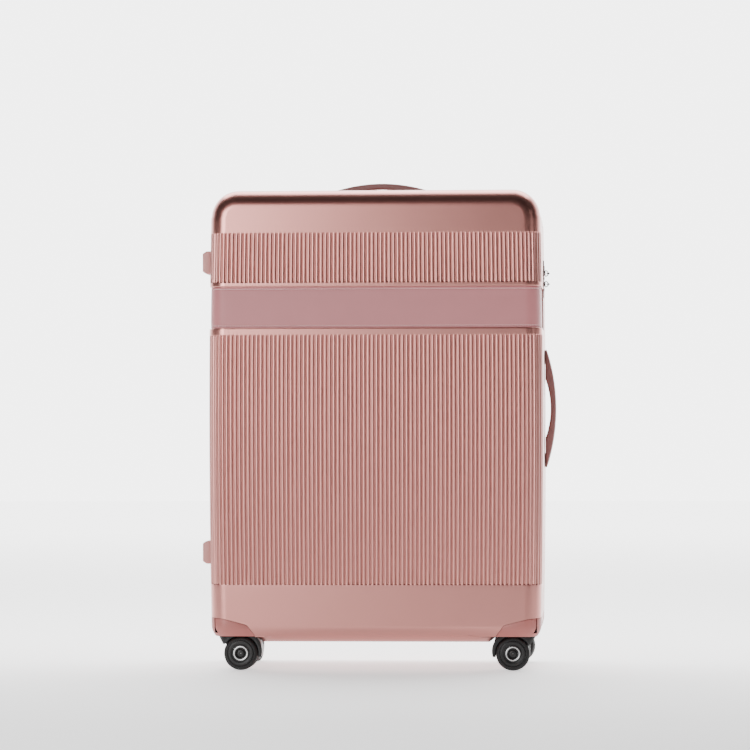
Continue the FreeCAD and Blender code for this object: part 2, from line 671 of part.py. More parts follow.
def trolley():
    """Bezel, bottom bracket and three stages of tubes, with the grip and its push button."""
    wall, gap = D.tube_wall, D.clearance
    step = (wall + gap) * 2
    y = D.trolley_y
    top = D.bezel_floor - 4.0
    tube_pair("trolley_outer_tubes", D.tube_width, D.tube_depth, D.tube_bottom, top - 0.2, wall)
    tube_pair("trolley_lower_stage", D.tube_width - step, D.tube_depth - step, D.tube_bottom + 20.0,
              D.bezel_floor - 1.0, wall)
    tube_pair("trolley_upper_stage", D.tube_width - step * 2, D.tube_depth - step * 2, D.tube_bottom + 40.0,
              D.bezel_floor + 4.0, wall)
    reach = D.grip_half_length
    rim = box("bezel_rim", (-(reach + 13.0), y - 17.0, D.case_top + 0.1),
              (reach + 13.0, y + 15.0, D.bezel_top))
    soft = rounded("bezel_rim_soft", rim, 6.0, lambda e: e.BoundBox.ZLength > 1.0)
    tray = box("bezel_tray", (-(reach + 8.8), y - 13.8, top), (reach + 8.8, y + 13.8, D.case_top + 0.5))
    pocket = box("bezel_pocket", (-(reach + 1.5), y - 11.5, D.bezel_floor), (reach + 1.5, y + 11.5, 800.0))
    passages = [box(f"bezel_passage_{i}", (x - 9.8, y - 6.8, top - 5.0),
                    (x + 9.8, y + 6.8, D.bezel_floor + 5.0))
                for i, x in enumerate((-D.trolley_x, D.trolley_x))]
    piece(cut("trolley_bezel", fuse("bezel_solid", soft, tray), pocket, *passages), "trolley_bezel")
    base = box("bracket_block", (-(D.trolley_x + 16.0), y - 11.0, D.tube_bottom - 8.0),
               (D.trolley_x + 16.0, y + 11.0, D.tube_bottom + 10.0))
    along, across = D.tube_width / 2 + 0.1, D.tube_depth / 2 + 0.1
    sockets = [box(f"bracket_socket_{i}", (x - along, y - across, D.tube_bottom),
                   (x + along, y + across, D.tube_bottom + 30.0))
               for i, x in enumerate((-D.trolley_x, D.trolley_x))]
    piece(cut("trolley_bracket", base, *sockets), "trolley_bracket")
    grip = box("grip_block", (-reach, y - 10.0, D.bezel_floor + 4.2), (reach, y + 10.0, D.grip_top))
    soft = rounded("grip_soft", grip, 4.0,
                   lambda e: e.BoundBox.XLength > 50.0 and e.BoundBox.Center.z > 740.0)
    well = box("button_well", (-15.2, y - 5.2, D.grip_top - 9.0), (15.2, y + 5.2, D.grip_top + 5.0))
    piece(cut("trolley_grip", soft, well), "trolley_grip")
    button = box("trolley_button_block", (-15.0, y - 5.0, D.grip_top - 5.5),
                 (15.0, y + 5.0, D.grip_top + 1.4))
    piece(rounded("trolley_button", button, 1.0, lambda e: e.BoundBox.Center.z > float(D.grip_top) + 1.0),
          "trolley_button")


# ---------------------------------------------------------------- casters
# Each caster's turn about its swivel axis. At 0 its wheels trail towards +X.
CASTERS = {
    "front_left": (-1, -1, 0.0),
    "front_right": (1, -1, 180.0),
    "rear_left": (-1, 1, 80.0),
    "rear_right": (1, 1, 165.0),
}


def caster(name):
    """A twin-wheel caster, drawn with its swivel axis on z and its wheels trailing towards +x,
    then turned and moved under its housing. Its fork has a hood over the wheels, a tail that
    curves down behind them, and a web between them."""
    sx, sy, turn = CASTERS[name]
    base = (sx * D.caster_x, sy * D.caster_y, 0.0)
    rotation = Rotation(Vector(0, 0, 1), turn)
    trail, radius, top = D.wheel_trail, D.wheel_radius, D.step_height - 0.9
    web = D.web_half_width
    guard = radius + 1.5

    def guard_height(u):
        return math.sqrt(float(guard) ** 2 - (float(u) - float(trail)) ** 2) + float(radius)

    hood = prism(f"{name}_hood", "xz", -21.0, 42.0,
                 [(-21.0, top), (-12.5, 40.5), (-8.8, guard_height(-8.8)), (5.0, guard_height(5.0)),
                  (5.0, top)],
                 {2: -guard})
    reach, low = 46.5, 21.0
    inner_low = trail + math.sqrt(float(guard) ** 2 - (float(radius) - low) ** 2)
    inner_top = trail + math.sqrt(float(guard) ** 2 - (float(top) - float(radius)) ** 2)
    tail = prism(f"{name}_tail", "xz", -16.5, 33.0,
                 [(inner_low, low), (reach, low), (inner_top + 15.0, top), (inner_top, top)],
                 {1: 30.0, 3: -guard})
    round_plan = cylinder(f"{name}_plan", "z", (0.0, 0.0, 30.0), 21.5, 30.0)
    spine = prism(f"{name}_spine", "xz", -web, web * 2,
                  [(-14.0, top), (-9.0, 38.0), (6.0, 19.0), (24.0, 19.0), (44.0, 24.0), (44.0, 36.0),
                   (30.0, top)])
    boss = cylinder(f"{name}_boss", "y", (trail, -web, radius), 9.5, web * 2)
    axle_hole = cylinder(f"{name}_axle_hole", "y", (trail, -30.0, radius), D.axle_radius + 0.02, 60.0)
    pin_hole = cylinder(f"{name}_pin_hole", "z", (0.0, 0.0, top - 3.2), D.swivel_radius - 0.98, 10.0)
    fork = cut(f"caster_fork_{name}",
               fuse(f"{name}_fork_solid", common(f"{name}_hood_round", hood, round_plan), tail, spine, boss),
               axle_hole, pin_hole)
    piece(place(fork, base, rotation), f"caster_fork_{name}")

    floor = D.step_height + D.housing_wall + 1.0
    collar = floor + 4.0
    pin = fuse(f"{name}_pin",
               cylinder(f"{name}_pin_neck", "z", (0.0, 0.0, top - 3.0), D.swivel_radius - 1.0, 6.0),
               cylinder(f"{name}_pin_bar", "z", (0.0, 0.0, top + 0.3), D.swivel_radius, collar + 2.5 - top),
               cylinder(f"{name}_pin_head", "z", (0.0, 0.0, collar + 0.3), D.swivel_radius + 3.0, 2.5))
    axle = cylinder(f"{name}_axle", "y", (trail, -20.0, radius), D.axle_radius, 40.0)
    piece(place(group(f"caster_pins_{name}", pin, axle), base, rotation), f"caster_pins_{name}")

    for face, way in (("outer", -1), ("inner", 1)):
        near = web + 0.6
        low = way * near if way > 0 else -(near + D.wheel_width)
        label = f"{name}_{face}"
        rim = cylinder(f"{label}_rim", "y", (trail, low, radius), radius, D.wheel_width)
        soft = rounded(f"{label}_soft", rim, 3.0, lambda e: e.BoundBox.XLength > 50.0)
        seat = cylinder(f"{label}_seat", "y", (trail, low - 5.0, radius), D.tyre_inner_radius, 30.0)
        tyre = cut(f"tyre_{label}", soft, seat)
        piece(place(tyre, base, rotation), f"tyre_{label}")
        core = cylinder(f"{label}_core", "y", (trail, low, radius), D.tyre_inner_radius - 0.05, D.wheel_width)
        bore_low = low - 2.0 if way > 0 else low + 1.0
        bore = cylinder(f"{label}_bore", "y", (trail, bore_low, radius), D.axle_radius + D.running_gap,
                        D.wheel_width + 1.0)
        piece(place(cut(f"hub_{label}", core, bore), base, rotation), f"hub_{label}")


# ---------------------------------------------------------------- build and write
front_half()
rear_half()
for half_name in HALVES:
    for side_name in SIDES:
        housing(half_name, side_name)
    housing_screws(half_name)
    side_feet(half_name)
handles()
lock()
for slider_label in SLIDERS:
    zip_slider(slider_label)
trolley()
for caster_name in CASTERS:
    caster(caster_name)
doc.recompute()

for thing in doc.Objects:
    if "Invalid" in thing.State or "Error" in thing.State:
        raise RuntimeError(f"{thing.Name} failed to build: {thing.State}")
for part_object in PIECES:
    shape = part_object.Shape
    if shape.isNull() or not shape.isValid():
        raise RuntimeError(f"{part_object.Label} has no valid shape")

os.makedirs("parts", exist_ok=True)
for part_object in PIECES:
    part_object.Shape.exportStep(f"parts/{part_object.Label}.step")
    print(part_object.Label, len(part_object.Shape.Solids), round(part_object.Shape.Volume / 1000, 1), "cm3")
print(len(PIECES), "sub-parts")
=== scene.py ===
import math

import bmesh
import bpy
from mathutils import Matrix, Vector


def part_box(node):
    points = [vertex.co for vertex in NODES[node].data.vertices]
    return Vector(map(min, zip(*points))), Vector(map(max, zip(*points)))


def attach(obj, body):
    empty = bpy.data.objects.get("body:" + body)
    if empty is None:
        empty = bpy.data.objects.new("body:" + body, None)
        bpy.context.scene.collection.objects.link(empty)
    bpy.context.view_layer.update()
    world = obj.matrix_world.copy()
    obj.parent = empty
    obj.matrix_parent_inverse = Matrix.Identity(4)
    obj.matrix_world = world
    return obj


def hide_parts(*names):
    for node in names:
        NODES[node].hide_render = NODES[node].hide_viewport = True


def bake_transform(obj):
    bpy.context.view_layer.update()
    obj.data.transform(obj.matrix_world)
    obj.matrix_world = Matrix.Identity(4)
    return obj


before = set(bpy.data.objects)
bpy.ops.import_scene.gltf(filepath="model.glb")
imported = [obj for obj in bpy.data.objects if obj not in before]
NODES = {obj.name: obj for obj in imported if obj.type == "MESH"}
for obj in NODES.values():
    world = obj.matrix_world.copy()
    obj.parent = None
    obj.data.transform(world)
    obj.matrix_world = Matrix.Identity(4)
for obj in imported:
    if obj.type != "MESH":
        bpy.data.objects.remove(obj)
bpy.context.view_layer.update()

MM = 0.001


# ------------------------------------------------------------------ materials
def material(name, base, rough, metallic=0.0, vary=0.06, vary_scale=9.0, rough_vary=0.06, rough_scale=60.0,
             grain=None, coat=0.0, coat_rough=0.1, sheen=0.0, specular=0.5, kind="noise"):
    """A procedural finish: a base colour that drifts a little, an uneven roughness and a fine
    relief. grain is (scale, distance in metres, strength), and kind is the relief's pattern."""
    m = bpy.data.materials.new(name)
    m.use_nodes = True
    tree = m.node_tree
    nodes, links = tree.nodes, tree.links
    shader = nodes["Principled BSDF"]
    coords = nodes.new("ShaderNodeTexCoord")

    def noise(scale, detail=4.0, roughness=0.55, stretch=None):
        n = nodes.new("ShaderNodeTexNoise")
        n.inputs["Scale"].default_value = scale
        n.inputs["Detail"].default_value = detail
        n.inputs["Roughness"].default_value = roughness
        if stretch:
            mapping = nodes.new("ShaderNodeMapping")
            mapping.inputs["Scale"].default_value = stretch
            links.new(coords.outputs["Object"], mapping.inputs["Vector"])
            links.new(mapping.outputs["Vector"], n.inputs["Vector"])
        else:
            links.new(coords.outputs["Object"], n.inputs["Vector"])
        return n

    tone = noise(vary_scale)
    mix = nodes.new("ShaderNodeMix")
    mix.data_type = "RGBA"
    mix.inputs[6].default_value = tuple(c * (1 - vary) for c in base) + (1.0,)
    mix.inputs[7].default_value = tuple(min(1.0, c * (1 + vary)) for c in base) + (1.0,)
    links.new(tone.outputs[0], mix.inputs[0])
    links.new(mix.outputs[2], shader.inputs["Base Color"])
    dull = noise(rough_scale)
    span = nodes.new("ShaderNodeMapRange")
    span.inputs["To Min"].default_value = max(0.02, rough - rough_vary)
    span.inputs["To Max"].default_value = min(1.0, rough + rough_vary)
    links.new(dull.outputs[0], span.inputs["Value"])
    links.new(span.outputs["Result"], shader.inputs["Roughness"])
    shader.inputs["Metallic"].default_value = metallic
    shader.inputs["Specular IOR Level"].default_value = specular
    if coat:
        shader.inputs["Coat Weight"].default_value = coat
        shader.inputs["Coat Roughness"].default_value = coat_rough
    if sheen:
        shader.inputs["Sheen Weight"].default_value = sheen
        shader.inputs["Sheen Roughness"].default_value = 0.4
    if grain:
        scale, distance, strength = grain
        bump = nodes.new("ShaderNodeBump")
        bump.inputs["Distance"].default_value = distance
        bump.inputs["Strength"].default_value = strength
        if kind == "noise":
            relief = noise(scale, 6.0, 0.6)
            links.new(relief.outputs[0], bump.inputs["Height"])
        elif kind == "leather":
            cell = nodes.new("ShaderNodeTexVoronoi")
            cell.feature = "DISTANCE_TO_EDGE"
            cell.inputs["Scale"].default_value = scale
            warp = noise(scale * 0.7, 3.0)
            add = nodes.new("ShaderNodeVectorMath")
            add.operation = "MULTIPLY_ADD"
            add.inputs[1].default_value = (0.0016, 0.0016, 0.0016)
            links.new(warp.outputs[1], add.inputs[0])
            links.new(coords.outputs["Object"], add.inputs[2])
            links.new(add.outputs[0], cell.inputs["Vector"])
            ramp = nodes.new("ShaderNodeMapRange")
            ramp.inputs["From Max"].default_value = 0.28
            links.new(cell.outputs["Distance"], ramp.inputs["Value"])
            fine = noise(scale * 4.0, 5.0)
            height = nodes.new("ShaderNodeMath")
            height.operation = "MULTIPLY_ADD"
            height.inputs[1].default_value = 0.35
            links.new(fine.outputs[0], height.inputs[0])
            links.new(ramp.outputs["Result"], height.inputs[2])
            links.new(height.outputs[0], bump.inputs["Height"])
        elif kind == "weave":
            mapping = nodes.new("ShaderNodeMapping")
            links.new(coords.outputs["Object"], mapping.inputs["Vector"])
            total = None
            for axis in ("X", "Y", "Z"):
                wave = nodes.new("ShaderNodeTexWave")
                wave.bands_direction = axis
                wave.inputs["Scale"].default_value = scale
                wave.inputs["Distortion"].default_value = 0.6
                wave.inputs["Detail Scale"].default_value = 3.0
                links.new(mapping.outputs["Vector"], wave.inputs["Vector"])
                if total is None:
                    total = wave.outputs["Fac"]
                else:
                    both = nodes.new("ShaderNodeMath")
                    both.operation = "ADD"
                    links.new(total, both.inputs[0])
                    links.new(wave.outputs["Fac"], both.inputs[1])
                    total = both.outputs[0]
            links.new(total, bump.inputs["Height"])
        elif kind == "brushed":
            relief = noise(scale, 3.0, 0.6, (1.0, 1.0, 0.03))
            links.new(relief.outputs[0], bump.inputs["Height"])
        links.new(bump.outputs["Normal"], shader.inputs["Normal"])
    return m


SHELL = material("shell_paint", (0.51, 0.212, 0.186), 0.30, metallic=1.0, vary=0.015, vary_scale=5.0,
                 rough_vary=0.012, rough_scale=20.0, grain=(20.0, 0.00001, 0.05), coat=0.4, coat_rough=0.25)
HOUSING = material("housing_plastic", (0.37, 0.115, 0.10), 0.38, metallic=0.15, vary=0.02, rough_vary=0.04,
                   rough_scale=200.0, grain=(1500.0, 0.00003, 0.15))
FOOT = material("foot_plastic", (0.55, 0.24, 0.215), 0.42, vary=0.02, grain=(1500.0, 0.00003, 0.15))
BAND = material("band_leather", (0.46, 0.165, 0.172), 0.46, vary=0.05, vary_scale=30.0, rough_vary=0.07,
                rough_scale=300.0, grain=(620.0, 0.00012, 0.30), sheen=0.1, kind="leather")
GRIP_LEATHER = material("handle_leather", (0.30, 0.135, 0.125), 0.44, vary=0.06, vary_scale=30.0,
                        rough_vary=0.08, rough_scale=300.0, grain=(560.0, 0.00014, 0.35), kind="leather")
THREAD = material("thread", (0.85, 0.62, 0.60), 0.6, vary=0.1, vary_scale=900.0, grain=(2500.0, 0.00005, 0.5))
BLACK = material("black_plastic", (0.008, 0.008, 0.008), 0.36, specular=0.35, vary=0.15, rough_vary=0.08,
                 rough_scale=200.0, grain=(1400.0, 0.00004, 0.25))
TYRE = material("tyre", (0.009, 0.009, 0.009), 0.55, specular=0.3, vary=0.2, vary_scale=40.0, rough_vary=0.1,
                rough_scale=240.0, grain=(1100.0, 0.00006, 0.35))
STEEL = material("steel", (0.55, 0.55, 0.55), 0.28, metallic=1.0, vary=0.05, rough_vary=0.06, rough_scale=500.0,
                 grain=(900.0, 0.00002, 0.2))
ALUMINIUM = material("aluminium", (0.62, 0.52, 0.49), 0.30, metallic=1.0, vary=0.03, rough_vary=0.07,
                     rough_scale=300.0, grain=(1500.0, 0.00003, 0.3), kind="brushed")
GUNMETAL = material("dark_metal", (0.045, 0.038, 0.038), 0.33, metallic=1.0, vary=0.08, rough_vary=0.07,
                    rough_scale=400.0, grain=(900.0, 0.00002, 0.2))
LOCK = material("lock_plastic", (0.30, 0.17, 0.155), 0.34, metallic=0.4, vary=0.04, rough_vary=0.05,
                rough_scale=300.0, grain=(1500.0, 0.00003, 0.2))
DIAL = material("dial_plastic", (0.05, 0.045, 0.045), 0.4, vary=0.1, rough_vary=0.06,
                grain=(1200.0, 0.00003, 0.2))
DIGIT = material("dial_digit_ink", (0.75, 0.72, 0.70), 0.5, vary=0.03, grain=(2000.0, 0.00001, 0.2))
ZIP = material("zip_fabric", (0.20, 0.10, 0.095), 0.75, vary=0.1, vary_scale=200.0, grain=(900.0, 0.0001, 0.5),
               sheen=0.3, kind="weave")
COIL = material("zip_coil", (0.27, 0.135, 0.125), 0.42, vary=0.1, vary_scale=300.0,
                grain=(1500.0, 0.00003, 0.2))
LINING = material("lining_fabric", (0.34, 0.21, 0.20), 0.72, vary=0.08, vary_scale=14.0, rough_vary=0.08,
                  grain=(700.0, 0.0001, 0.5), sheen=0.35, kind="weave")
WEBBING = material("strap_webbing", (0.19, 0.10, 0.095), 0.7, vary=0.1, vary_scale=200.0,
                   grain=(620.0, 0.0002, 0.7), sheen=0.2, kind="weave")


# ------------------------------------------------------------------ helpers
def new_object(name, verts, faces, finish, smooth=35.0):
    """A mesh piece from points in millimetres."""
    mesh = bpy.data.meshes.new(name)
    mesh.from_pydata([(x * MM, y * MM, z * MM) for x, y, z in verts], [], faces)
    mesh.materials.append(finish)
    mesh.validate()
    thing = bpy.data.objects.new(name, mesh)
    bpy.context.scene.collection.objects.link(thing)
    shade(thing, smooth)
    return thing


def shade(thing, angle=35.0):
    """Smooth shading with edges sharper than the angle kept."""
    mesh = thing.data
    for polygon in mesh.polygons:
        polygon.use_smooth = True
    mesh.set_sharp_from_angle(angle=math.radians(angle))


def apply_modifiers(thing):
    """Turns the piece's modifiers into its mesh."""
    graph = bpy.context.evaluated_depsgraph_get()
    mesh = bpy.data.meshes.new_from_object(thing.evaluated_get(graph))
    old = thing.data
    thing.modifiers.clear()
    thing.data = mesh
    bpy.data.meshes.remove(old)


def clean(thing, merge=0.00002):
    """Joins points that coincide and turns the faces outwards."""
    work = bmesh.new()
    work.from_mesh(thing.data)
    bmesh.ops.remove_doubles(work, verts=work.verts, dist=merge)
    bmesh.ops.dissolve_degenerate(work, edges=work.edges, dist=merge * 0.5)
    bmesh.ops.recalc_face_normals(work, faces=work.faces)
    work.to_mesh(thing.data)
    work.free()


def softened(node, width, body, finish, segments=2, angle=30.0):
    """A copy of a CAD node with its edges rounded, which stands for the node."""
    source = NODES[node]
    mesh = source.data.copy()
    mesh.materials.clear()
    mesh.materials.append(finish)
    thing = bpy.data.objects.new("look_" + node, mesh)
    bpy.context.scene.collection.objects.link(thing)
    work = bmesh.new()
    work.from_mesh(mesh)
    bmesh.ops.remove_doubles(work, verts=work.verts, dist=0.00001)
    bmesh.ops.dissolve_limit(work, angle_limit=math.radians(0.8), verts=work.verts, edges=work.edges)
    work.to_mesh(mesh)
    work.free()
    if width > 0.0:
        soft = thing.modifiers.new("soft", "BEVEL")
        soft.width = width * MM
        soft.segments = segments
        soft.limit_method = "ANGLE"
        soft.angle_limit = math.radians(angle)
        soft.use_clamp_overlap = True
        soft.miter_outer = "MITER_ARC"
        apply_modifiers(thing)
    shade(thing, 32.0)
    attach(thing, body)
    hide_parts(node)
    return thing


def show(thing, body, slot_name, *nodes):
    """Attaches a piece to the body that it rides on and hides the CAD nodes that it stands for; its slot is not
    used.
    """
    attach(thing, body)
    if nodes:
        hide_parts(*nodes)
    return thing


def piece(name, verts, faces, finish, smooth, body, slot_name, *nodes):
    """A cleaned mesh piece, attached to its body."""
    thing = new_object(name, verts, faces, finish, smooth)
    clean(thing, 0.000001)
    return show(thing, body, slot_name, *nodes)


def thicken(thing, thickness):
    """Gives a skin a thickness in millimetres, inwards."""
    wall = thing.modifiers.new("wall", "SOLIDIFY")
    wall.thickness = thickness * MM
    wall.offset = -1.0
    wall.use_even_offset = False
    apply_modifiers(thing)


def orient(thing, axis, sign):
    """Turns the piece's faces so that the ones farthest along an axis look that way."""
    work = bmesh.new()
    work.from_mesh(thing.data)
    best = max(work.faces, key=lambda f: f.calc_center_median()[axis] * sign)
    if best.normal[axis] * sign < 0:
        bmesh.ops.reverse_faces(work, faces=work.faces)
    work.to_mesh(thing.data)
    work.free()


CUBE_FACES = ((0, 3, 2, 1), (4, 5, 6, 7), (0, 1, 5, 4), (1, 2, 6, 5), (2, 3, 7, 6), (3, 0, 4, 7))


def cube_mesh(low, high):
    """A box between two corners."""
    x0, y0, z0 = low
    x1, y1, z1 = high
    verts = [(x0, y0, z0), (x1, y0, z0), (x1, y1, z0), (x0, y1, z0),
             (x0, y0, z1), (x1, y0, z1), (x1, y1, z1), (x0, y1, z1)]
    return verts, list(CUBE_FACES)


def grid_faces(rows, across):
    """The faces of a grid of points, row by row."""
    faces = []
    for j in range(rows - 1):
        for i in range(across - 1):
            a = j * across + i
            faces.append((a, a + across, a + across + 1, a + 1))
    return faces


def bead_faces(base):
    """The faces of a small closed bead of five rings with six points each, the first at base."""
    faces = []
    for r in range(4):
        for c in range(6):
            a, b = base + r * 6 + c, base + r * 6 + (c + 1) % 6
            faces.append((a, b, b + 6, a + 6))
    faces.append(tuple(base + c for c in range(5, -1, -1)))
    faces.append(tuple(base + 24 + c for c in range(6)))
    return faces


def prism_mesh(points, y0, y1):
    """A prism along y over a polygon of (x, z) points."""
    n = len(points)
    verts = [(x, y0, z) for x, z in points] + [(x, y1, z) for x, z in points]
    faces = [tuple(range(n)), tuple(range(2 * n - 1, n - 1, -1))]
    faces += [(i, i + n, (i + 1) % n + n, (i + 1) % n) for i in range(n)]
    return verts, faces


def carve(thing, cutters):
    """Cuts tools out of a piece and removes the tools."""
    for tool in cutters:
        clean(tool)
        cut = thing.modifiers.new("cut", "BOOLEAN")
        cut.operation = "DIFFERENCE"
        cut.solver = "MANIFOLD"
        cut.object = tool
        before = len(thing.data.polygons)
        apply_modifiers(thing)
        if len(thing.data.polygons) < before // 4:
            raise RuntimeError("a cut emptied " + thing.name)
        bpy.data.objects.remove(tool)


# ------------------------------------------------------------------ shells
# Sizes in millimetres. The case is widest at CROWN_Z, where its sides swell by CROWN.
SIDE_HALF, CROWN, CROWN_Z, CROWN_REACH = 257.0, 4.0, 397.75, 352.25
TOP, TOP_RADIUS, TOP_CENTRE = 750.0, 43.0, 214.0
BOTTOM, STEP_Z, STEP_HALF, BELLY_HALF = 45.5, 54.5, 188.0, 177.0
CORNER_RADIUS, CORNER_CENTRE = 27.0, 230.0
DEPTH, RIM, WALL = 155.0, 4.0, 2.6
FRONT_EDGE, REAR_EDGE = 26.0, 20.0
BAND_LOW, BAND_HIGH, BAND_END, CHANNEL, LEATHER = 534.0, 599.0, 18.0, 3.6, 1.4
HOUSING_INNER, SEAM_GAP = 45.0, 0.35
HANDLE_Y, SIDE_HANDLE_Z, HANDLE_SIDE_X, HANDLE_MOUNT, HANDLE_HALF = 38.0, 410.0, 261.2, 82.0, 94.0
PITCH, FLAT_RIBS, GROOVE_DEPTH = 6.70, 66, 1.7
RIB_PROFILE = ((-2.5, 0.06), (-1.85, 0.18), (-1.3, 0.38), (-0.9, 0.64), (-0.45, 0.92), (0.0, 1.0),
               (0.45, 0.92), (0.9, 0.64), (1.3, 0.38), (1.85, 0.18), (2.5, 0.06))


def half_width(z):
    """Half the case's width at a height."""
    if z > TOP - TOP_RADIUS:
        rise = z - (TOP - TOP_RADIUS)
        return TOP_CENTRE + math.sqrt(max(0.0, TOP_RADIUS ** 2 - rise ** 2))
    if z < STEP_Z:
        return STEP_HALF - (STEP_HALF - BELLY_HALF) * (STEP_Z - z) / (STEP_Z - BOTTOM)
    if z < BOTTOM + CORNER_RADIUS:
        return CORNER_CENTRE + math.sqrt(CORNER_RADIUS ** 2 - (BOTTOM + CORNER_RADIUS - z) ** 2)
    return SIDE_HALF + CROWN * (1.0 - ((z - CROWN_Z) / CROWN_REACH) ** 2)


def section(z, radius):
    """(half width of the rim, [(x, depth) over the edge rounding from side to face]) at a height."""
    near = DEPTH - radius
    width = half_width(z)
    steps = 48
    curve = []
    if z > TOP - TOP_RADIUS:
        rise = z - (TOP - TOP_RADIUS)
        inner = TOP_RADIUS - radius
        last = math.pi / 2 if rise <= inner else math.acos(min(1.0, (rise - inner) / radius))
        for i in range(steps + 1):
            b = last * i / steps
            reach = inner + radius * math.cos(b)
            across = TOP_CENTRE + math.sqrt(max(0.0, reach ** 2 - rise ** 2))
            curve.append((across, near + radius * math.sin(b)))
    else:
        deep = radius
        if z < BOTTOM + radius:
            deep = math.sqrt(max(0.0, radius ** 2 - (BOTTOM + radius - z) ** 2))
        for i in range(steps + 1):
            b = math.pi / 2 * i / steps
            curve.append((width - radius + radius * math.cos(b), near + deep * math.sin(b)))
    return width, curve


def stations(radius, ribs_to):
    """Column places along half a section, from the rim to the middle of the face: each a kind,
    a place and the depth of the groove there from 0 to 1. The arc is measured from its face end."""
    arc = math.pi / 2 * radius
    span = DEPTH - radius - RIM
    flat_end = FLAT_RIBS / 2 * PITCH
    edge = SIDE_HALF + CROWN - radius
    total = edge + arc + (DEPTH - radius - ribs_to)
    grooves = [flat_end - PITCH * i for i in range(FLAT_RIBS // 2 + 1)]
    grooves += [flat_end + PITCH * i for i in range(1, 60) if flat_end + PITCH * i < total - 3.0]
    run = []
    for g in sorted(round(g, 4) for g in grooves):
        for offset, depth in RIB_PROFILE:
            run.append((g + offset, depth))
        run.append((g + PITCH / 2, 0.0))
    marks = []
    for s, depth in sorted(r for r in run if 0.0 <= r[0] <= total):
        if s <= edge:
            marks.append(("face", s / edge, depth))
        elif s <= edge + arc:
            marks.append(("edge", (s - edge) / arc, depth))
        else:
            marks.append(("side", (s - edge - arc) / span, depth))
    last = marks[-1][1] if marks[-1][0] == "side" else 0.0
    ends = [1.0 - (BAND_END - RIM + d) / span for d in (0.15, -0.15, -1.0, 1.0)]
    for k in range(1, 7):
        t = last + (1.0 - last) * k / 6
        if all(abs(t - e) > 0.02 for e in ends):
            marks.append(("side", t, 0.0))
    marks += [("side", e, 0.0) for e in ends if e > last]
    order = {"face": 0, "edge": 1, "side": 2}
    marks.sort(key=lambda m: (order[m[0]], m[1]))
    if marks[0][1] > 0.0:
        marks.insert(0, ("face", 0.0, 0.0))
    return marks


def column_point(mark, width, curve, shrink):
    """Where a column crosses a section: across, depth and the outward normal there."""
    kind, t, _ = mark
    end_x, end_depth = curve[-1]
    near = curve[0][1]
    if kind == "face":
        x, depth, normal = end_x * t, end_depth, (0.0, 1.0)
    elif kind == "edge":
        place = (1.0 - t) * (len(curve) - 1)
        i = min(int(place), len(curve) - 2)
        f = place - i
        x = curve[i][0] * (1 - f) + curve[i + 1][0] * f
        depth = curve[i][1] * (1 - f) + curve[i + 1][1] * f
        normal = (math.sin(math.pi / 2 * t), math.cos(math.pi / 2 * t))
    else:
        x, depth, normal = width, near + (RIM - near) * t, (1.0, 0.0)
    return x * (1 - shrink), RIM + (depth - RIM) * (1 - shrink), normal


def levels(zones, channel):
    """Heights of the rows: (z, shrink, groove strength, channel strength), with short rounded
    ends for the grooves."""
    rows = []

    def add(z, groove=0.0, chan=0.0, shrink=0.0):
        rows.append((z, shrink, groove, chan))

    for shrink in (0.999, 0.6, 0.2, 0.05):
        add(BOTTOM, shrink=shrink)
    for i in range(9):
        add(BOTTOM + 9.0 * (i / 8) ** 1.6 * 0.999)
    add(STEP_Z - 0.01)
    for i in range(14):
        add(STEP_Z + 0.01 + (CORNER_RADIUS - STEP_Z + BOTTOM) * (i / 13) ** 1.2)
    events = []
    for low, high in zones:
        for d, g in ((-0.5, 0.0), (0.0, 0.03), (0.25, 0.35), (0.7, 0.70), (1.3, 0.92), (2.2, 1.0)):
            events.append((low + d, g, 0.0))
            events.append((high - d, g, 0.0))
        z = low + 30.0
        while z < high - 20.0:
            events.append((z, 1.0, 0.0))
            z += 30.0
    if channel:
        for d, c in ((-2.0, 0.0), (-0.9, 0.0), (-0.35, 0.06), (-0.08, 0.25), (0.0, 0.5), (0.02, 1.0),
                     (2.0, 1.0)):
            events.append((BAND_LOW + d, 0.0, c))
            events.append((BAND_HIGH - d, 0.0, c))
        for z in (550.0, 566.5, 583.0):
            events.append((z, 0.0, 1.0))
    for z in (90.0, 100.0, 115.0, 128.0, 690.0, 700.0, 706.9):
        events.append((z, 0.0, 0.0))
    events.sort()
    for z, g, c in events:
        add(z, g, c)
    for i in range(1, 26):
        a = math.pi / 2 * i / 25
        add(TOP - TOP_RADIUS + TOP_RADIUS * math.sin(a))
    for shrink in (0.05, 0.2, 0.6, 0.999):
        add(TOP, shrink=shrink)
    return rows


def shell(name, half, radius, zones, channel, ribs_to):
    """One half of the case: its skin drawn row by row, then thickened inwards."""
    sy = -1.0 if half == "front" else 1.0
    marks = stations(radius, ribs_to)
    grid = []
    for z, shrink, groove, chan in levels(zones, channel):
        width, curve = section(z, radius)
        right = []
        for mark in marks:
            x, depth, (nx, ny) = column_point(mark, width, curve, shrink)
            recess = groove * GROOVE_DEPTH * mark[2]
            if chan and not (mark[0] == "side" and mark[1] > 1.0 - (BAND_END - RIM) / (DEPTH - radius - RIM)):
                recess += chan * CHANNEL
            right.append((x - nx * recess, sy * (depth - ny * recess), z))
        left = [(-x, y, zz) for x, y, zz in right[1:]]
        grid.append(list(reversed(left)) + right)
    across = len(grid[0])
    verts = [p for row in grid for p in row]
    faces = []
    for j in range(len(grid) - 1):
        for i in range(across - 1):
            a = j * across + i
            face = (a, a + 1, a + across + 1, a + across)
            faces.append(face if sy < 0 else face[::-1])
    thing = new_object(name, verts, faces, SHELL)
    clean(thing, 0.00001)
    orient(thing, 1, sy)
    thicken(thing, WALL)
    return thing


